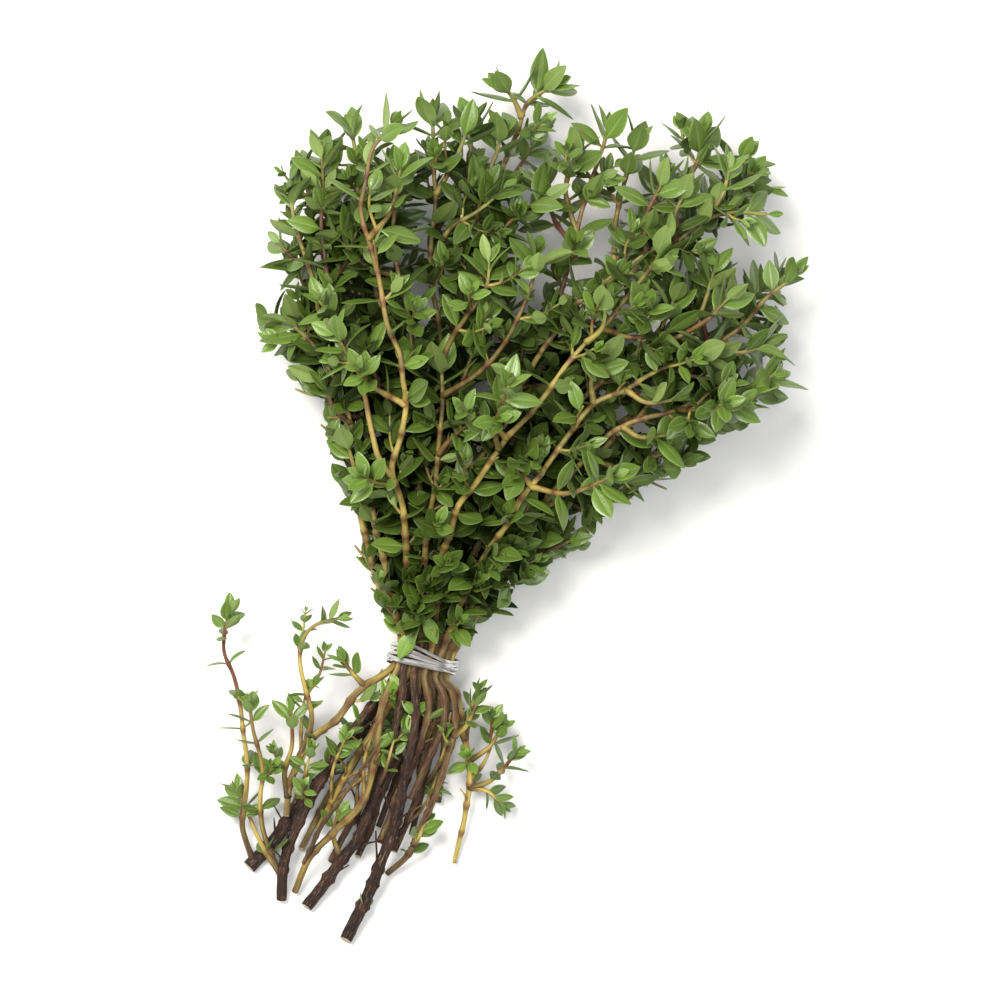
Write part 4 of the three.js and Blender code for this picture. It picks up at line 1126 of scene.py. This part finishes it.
# Painted shade: the stem is darker where it is little open to light.
light = add_node(tree, "Attribute", {}, "Fac", attribute_name="stem_painted_shade")
light = add_node(tree, "MapRange", {0: light, 1: 0.1, 2: 0.6, 3: 0.12, 4: 1.05})
level = add_node(tree, "Math", {0: level, 1: light}, operation="MULTIPLY")
feed(shader, {
    "Base Color": add_node(tree, "VectorMath", {0: colour, "Scale": level}, operation="SCALE"),
    "Roughness": add_node(tree, "MapRange", {0: age, 1: 0.3, 2: 0.8, 3: 0.42, 4: 0.85}),
    "Specular IOR Level": 0.32,
    "Normal": add_node(tree, "Bump", {"Height": crack, "Strength": 0.5, "Distance": 0.0003}),
})

# The cut end of a woody stem: pale sapwood with darker fibres, rough from the blade.
FIBRE = 1.11  # mm
cut_wood, tree, shader = new_material("cut_sapwood")
place = add_node(tree, "TexCoord", {}, "Object")
fibres = add_node(tree, "TexNoise", {"Vector": place, "Scale": 1 / (FIBRE * MM), "Detail": 4})
feed(shader, {
    "Base Color": add_node(tree, "Mix", {0: fibres, 6: "#8f7a5c", 7: "#d8c7a2"}, 2, data_type="RGBA"),
    "Roughness": 0.85,
})

# Thyme leaf: a satin blade, deeper green above and sage below, with a pale midrib, faint
# side veins, oil dots, now and then a brown fleck, and a lighter margin. The oil dots
# are drawn wider apart than real ones, so that they show. A leaf that is little open to
# the light between the others is painted darker and less shiny: painted shade.
VEINS = 7  # on each side of a midrib
VEIN_SWEEP = -0.34  # how far along the blade a vein runs on its way to the margin
MOTTLE = 2.38  # mm
FLECKS = 3.03  # mm between the places where one may be
OIL_DOTS = 0.3846  # mm apart
leaf_skin, tree, shader = new_material("thyme_leaf")
place = add_node(tree, "TexCoord", {}, "Object")
kept = add_node(tree, "Attribute", {}, "Vector", attribute_name="blade")
across_blade, along_blade, under = add_node(tree, "SeparateXYZ", {0: kept}).node.outputs
kept = add_node(tree, "Attribute", {}, "Vector", attribute_name="leaf_kind_and_shade")
tone, fresh, light = add_node(tree, "SeparateXYZ", {0: kept}).node.outputs
mottle = add_node(tree, "TexNoise", {"Vector": place, "Scale": 1 / (MOTTLE * MM), "Detail": 3})
# The sprig's tone, with the painted shade of the lower rows, sets how light its green is.
mottle = add_node(tree, "Math", {0: mottle, 1: 0.45, 2: tone}, operation="MULTIPLY_ADD")
mottle = add_node(tree, "Math", {0: mottle, 1: -0.22}, operation="ADD", use_clamp=True)
upper = add_node(tree, "Mix", {0: mottle, 6: "#283911", 7: "#4d6321"}, 2, data_type="RGBA")
upper = add_node(tree, "Mix", {0: fresh, 6: upper, 7: "#627f2e"}, 2, data_type="RGBA")
lower = add_node(tree, "Mix", {0: mottle, 6: "#546a2e", 7: "#7a8f4b"}, 2, data_type="RGBA")
colour = add_node(tree, "Mix", {0: under, 6: upper, 7: lower}, 2, data_type="RGBA")
off_rib = add_node(tree, "Math", {0: across_blade}, operation="ABSOLUTE")
rib = add_node(tree, "MapRange", {0: off_rib, 1: 0.03, 2: 0.14, 3: 0.4, 4: 0.0})
rib_fade = add_node(tree, "MapRange", {0: along_blade, 1: 0.1, 2: 1.0, 3: 1.0, 4: 0.25})
rib = add_node(tree, "Math", {0: rib, 1: rib_fade}, operation="MULTIPLY")
vein = add_node(tree, "Math", {0: off_rib, 1: VEIN_SWEEP, 2: along_blade}, operation="MULTIPLY_ADD")
vein = add_node(tree, "Math", {0: vein, 1: VEINS * 2 * math.pi}, operation="MULTIPLY")
vein = add_node(tree, "Math", {0: vein}, operation="COSINE")
vein = add_node(tree, "MapRange", {0: vein, 1: 0.75, 2: 1.0, 3: 0.0, 4: 0.1})
ribs = add_node(tree, "Math", {0: rib, 1: vein}, operation="MAXIMUM")
colour = add_node(tree, "Mix", {0: ribs, 6: colour, 7: "#8b9c5c"}, 2, data_type="RGBA")
margin = add_node(tree, "MapRange", {0: off_rib, 1: 0.8, 2: 1.0, 3: 0.0, 4: 0.5})
colour = add_node(tree, "Mix", {0: margin, 6: colour, 7: "#7c9150"}, 2, data_type="RGBA")
fleck = add_node(tree, "TexNoise", {"Vector": place, "Scale": 1 / (FLECKS * MM), "Detail": 2})
fleck = add_node(tree, "MapRange", {0: fleck, 1: 0.7, 2: 0.76, 3: 0.0, 4: 0.75})
colour = add_node(tree, "Mix", {0: fleck, 6: colour, 7: "#5b4a22"}, 2, data_type="RGBA")
# Painted shade: the leaf's colour is darkened where it is little open to light.
painted_shade = add_node(tree, "MapRange", {0: light, 1: 0.11, 2: 0.64, 3: 0.03, 4: 1.08})
dots = add_node(tree, "TexVoronoi", {"Vector": place, "Scale": 1 / (OIL_DOTS * MM)})
relief = add_node(tree, "Math", {0: ribs, 1: -1.5, 2: dots}, operation="MULTIPLY_ADD")
feed(shader, {
    "Base Color": add_node(tree, "VectorMath", {0: colour, "Scale": painted_shade}, operation="SCALE"),
    "Roughness": add_node(tree, "MapRange", {0: under, 1: 0.0, 2: 1.0, 3: 0.37, 4: 0.58}),
    # Painted shade: the leaf's shine is taken away where it is little open to light.
    "Specular IOR Level": add_node(tree, "MapRange", {0: light, 1: 0.2, 2: 0.65, 3: 0.01, 4: 0.55}),
    "Normal": add_node(tree, "Bump", {"Height": relief, "Strength": 0.35, "Distance": 0.0001}),
})


def put_wood(name, skins):
    """The piece that holds a sprig's stems, shoots and twigs."""
    starts = np.cumsum([0] + [len(skin["corners"]) for skin in skins])
    quads = np.vstack([skin["quads"] + start for skin, start in zip(skins, starts)])
    piece = put_mesh(name, np.vstack([skin["corners"] for skin in skins]), quads, stem_skin, cut_wood)
    put_values(piece, "stem_grain", np.vstack([skin["grain"] for skin in skins]))
    put_values(piece, "stem_age", np.vstack([skin["age"] for skin in skins]))
    # How open each ring is to light, which the material turns into painted shade.
    light = []
    for skin in skins:
        sides = len(skin["corners"]) // len(skin["middles"])
        light.append(np.repeat(openness(skin["middles"]), sides))
    put_values(piece, "stem_painted_shade", np.repeat(np.concatenate(light), 3))
    materials = np.concatenate([skin["material"] for skin in skins])
    piece.data.polygons.foreach_set("material_index", materials)
    return piece


def bake_map(mesh, count):
    """A cell of the map for each of the leaf faces, so that a baked image holds them all."""
    across = math.ceil(math.sqrt(count / 2))
    down = math.ceil(count / across)
    u, v = np.meshgrid((ACROSS + 1) / 2, ALONG)
    cell = np.arange(count)[:, None, None]
    cell_u = cell % across + CELL_INSET + (1 - 2 * CELL_INSET) * u[None]
    cell_v = cell // across + CELL_INSET + (1 - 2 * CELL_INSET) * v[None]
    flat = np.stack([cell_u / across, cell_v / down], -1).reshape(-1, 2)
    vertex = np.empty(len(mesh.loops), np.int32)
    mesh.loops.foreach_get("vertex_index", vertex)
    layer = mesh.uv_layers.new(name="OFBake")
    layer.uv.foreach_set("vector", flat[vertex].astype(np.float32).ravel())


def put_leaves(name, leaves):
    """The piece that holds a sprig's leaves, each an upper and an under face."""
    leaves = np.array(leaves)
    middles = leaves[:, 0:3] + leaves[:, 3:6] * leaves[:, 9:10] * BLADE_MIDDLE
    corners = leaf_corners(leaves)
    count, _, rows, columns, _ = shape = corners.shape
    r, c = np.meshgrid(np.arange(rows - 1), np.arange(columns - 1), indexing="ij")
    a = r * columns + c
    quad = np.stack([a, a + 1, a + columns + 1, a + columns], -1).reshape(-1, 4)
    one = np.vstack([quad, quad[:, ::-1] + rows * columns])
    quads = (one[None] + (np.arange(count) * 2 * rows * columns)[:, None, None]).reshape(-1, 4)
    piece = put_mesh(name, corners.reshape(-1, 3), quads, leaf_skin)
    under = np.array([0.0, 1.0])[:, None, None]
    blade = np.stack(np.broadcast_arrays(ACROSS, ALONG[:, None], under), -1)
    put_values(piece, "blade", np.broadcast_to(blade, shape))
    # Tone with painted shade, freshness, and openness to light, which paints shade on the leaf.
    kinds_and_shade = np.column_stack([leaves[:, 15:17], openness(middles)])
    put_values(piece, "leaf_kind_and_shade", np.broadcast_to(kinds_and_shade[:, None, None, None], shape))
    bake_map(piece.data, count * 2)
    return piece


for name, growth in grown.items():
    for piece in (put_wood(name + "_stem", growth.skins), put_leaves(name + "_leaves", growth.leaves)):
        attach(piece, "root")
        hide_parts(name)

# ------------------------------------------------------------------------- tie
# A thin strand of cloudy elastic, wound round the stems and pulled tight. It follows
# the outline of the stems that it presses on, and its turns cross and ride up a little.

STRAND_WIDTH = 0.8
STRAND_THICK = 0.3
STRAND_GAP = 0.3  # mm from the outermost stems to the strand's path
TURNS = 5
TURN_PITCH = 0.74  # mm along the bunch from one turn to the next
TURN_FAN = 0.22  # mm more at the left, where the turns fan out
TURN_POINTS = 72
STRAND_SIDES = 10
STEM_POINTS = 20  # round each stem that the outline is drawn from

outline = []
for sprig in SPRIGS:
    from_throat = slot_point(sprig["slot"]) - THROAT
    x, z = np.dot(from_throat, THROAT_ACROSS), from_throat[2]
    for k in range(STEM_POINTS):
        a = k * 2 * math.pi / STEM_POINTS
        reach = THROAT_RADIUS + STRAND_GAP
        outline.append((x + reach * math.cos(a), z + reach * math.sin(a)))
hull = np.array([outline[k] for k in convex_hull_2d(outline)])
if np.cross(hull[1] - hull[0], hull[2] - hull[1]) < 0:
    hull = hull[::-1]
ring = np.vstack([hull, hull[:1]])
run = np.concatenate([[0], np.cumsum(np.linalg.norm(np.diff(ring, axis=0), axis=1))])
at_run = np.linspace(0, run[-1], TURN_POINTS, endpoint=False)
hull = np.column_stack([np.interp(at_run, run, ring[:, k]) for k in range(2)])
for _ in range(3):
    hull = (np.roll(hull, 1, 0) + 2 * hull + np.roll(hull, -1, 0)) / 4

rng = random.Random(5)
outward = hull / np.linalg.norm(hull, axis=1)[:, None]
outward_3d = outward[:, :1] * THROAT_ACROSS + outward[:, 1:] * UP
angle = np.arange(TURN_POINTS) * 2 * math.pi / TURN_POINTS
section = np.arange(STRAND_SIDES) * 2 * math.pi / STRAND_SIDES
wide = np.cos(section)[None] * STRAND_WIDTH / 2
thin = np.sin(section)[None] * STRAND_THICK / 2
left = -hull[:, 0] / np.abs(hull[:, 0]).max()
turns = []
for turn in range(TURNS):
    waves = [(rng.uniform(0.05, 0.3), k, rng.uniform(0, 6.3)) for k in (1, 2, 3)]
    slide = (turn - (TURNS - 1) / 2) * (TURN_PITCH + TURN_FAN * left)
    slide = slide + sum(size * np.sin(k * angle + phase) for size, k, phase in waves)
    lift_up = 0.12 + 0.28 * np.clip(np.sin(angle * 2 + rng.uniform(0, 6.3)), 0, 1) * (turn % 2)
    path = hull + outward * (STRAND_THICK + lift_up)[:, None]
    spin = 0.9 * np.sin(angle * 3 + rng.uniform(0, 6.3)) * (0.4 + 0.6 * rng.random())
    centre = THROAT + path[:, :1] * THROAT_ACROSS + path[:, 1:] * UP + slide[:, None] * THROAT_AXIS
    along_axis = wide * np.cos(spin)[:, None] - thin * np.sin(spin)[:, None]
    along_out = wide * np.sin(spin)[:, None] + thin * np.cos(spin)[:, None]
    turns.append(
        centre[:, None] + along_axis[..., None] * THROAT_AXIS + along_out[..., None] * outward_3d[:, None]
    )
t, i, j = np.meshgrid(np.arange(TURNS), np.arange(TURN_POINTS), np.arange(STRAND_SIDES), indexing="ij")
n, m = (i + 1) % TURN_POINTS, (j + 1) % STRAND_SIDES
quads = np.stack([i * STRAND_SIDES + j, i * STRAND_SIDES + m, n * STRAND_SIDES + m, n * STRAND_SIDES + j], -1)
quads = (quads + (t * TURN_POINTS * STRAND_SIDES)[..., None]).reshape(-1, 4)

# Cloudy elastic: greyish white, a little see-through and softly shiny, with fine
# wrinkles where it is stretched.
WRINKLE = 2.0  # mm
elastic, tree, shader = new_material("cloudy_elastic")
place = add_node(tree, "TexCoord", {}, "Object")
cloud = add_node(tree, "TexNoise", {"Vector": place, "Scale": 1 / (WRINKLE * MM), "Detail": 4})
feed(shader, {
    "Base Color": add_node(tree, "Mix", {0: cloud, 6: "#5c5b57", 7: "#a09f9b"}, 2, data_type="RGBA"),
    "Roughness": 0.32,
    "IOR": 1.45,
    "Transmission Weight": 0.35,
    "Normal": add_node(tree, "Bump", {"Height": cloud, "Strength": 0.6, "Distance": 0.0002}),
})
tie = put_mesh("elastic_tie_strand", np.array(turns).reshape(-1, 3), quads, elastic)
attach(tie, "root")
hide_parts("elastic_tie")

# ------------------------------------------------------------- floor and light
# A matt white table, a large soft lamp up to the left, a larger one overhead, and an
# even pale surround.

FLOOR_HALF = 2.5  # metres, as are the lamps' places and sizes
WORLD_LEVEL = 0.44
LAMPS = (
    ("key_light", (-0.34, 0.36, 1.15), 0.45, 24.0, "#fffaf2"),
    ("top_light", (0.2, -0.1, 1.4), 0.7, 13.5, "#ffffff"),
)
AIM = Vector((0, 0, 0.02))
floor_mesh = bpy.data.meshes.new("floor")
floor_corners = [(x * FLOOR_HALF, y * FLOOR_HALF, 0) for x, y in ((-1, -1), (1, -1), (1, 1), (-1, 1))]
floor_mesh.from_pydata(floor_corners, [], [(0, 1, 2, 3)])
floor = bpy.data.objects.new("floor", floor_mesh)
bpy.context.scene.collection.objects.link(floor)
table_top, _, shader = new_material("white_table")
feed(shader, {"Base Color": "#d8d8d6", "Roughness": 0.9})
floor_mesh.materials.append(table_top)

world = bpy.data.worlds.new("studio")
world.use_nodes = True
background = world.node_tree.nodes["Background"]
background.inputs[0].default_value = linear("#f7faff")
background.inputs[1].default_value = WORLD_LEVEL
bpy.context.scene.world = world

for name, at, size, power, colour in LAMPS:
    lamp_data = bpy.data.lights.new(name, "AREA")
    lamp_data.size = size
    lamp_data.energy = power
    lamp_data.color = linear(colour)[:3]
    lamp = bpy.data.objects.new(name, lamp_data)
    lamp.location = at
    lamp.rotation_euler = (AIM - Vector(at)).to_track_quat("-Z", "Y").to_euler()
    bpy.context.scene.collection.objects.link(lamp)
bpy.context.scene.view_settings.view_transform = "Standard"
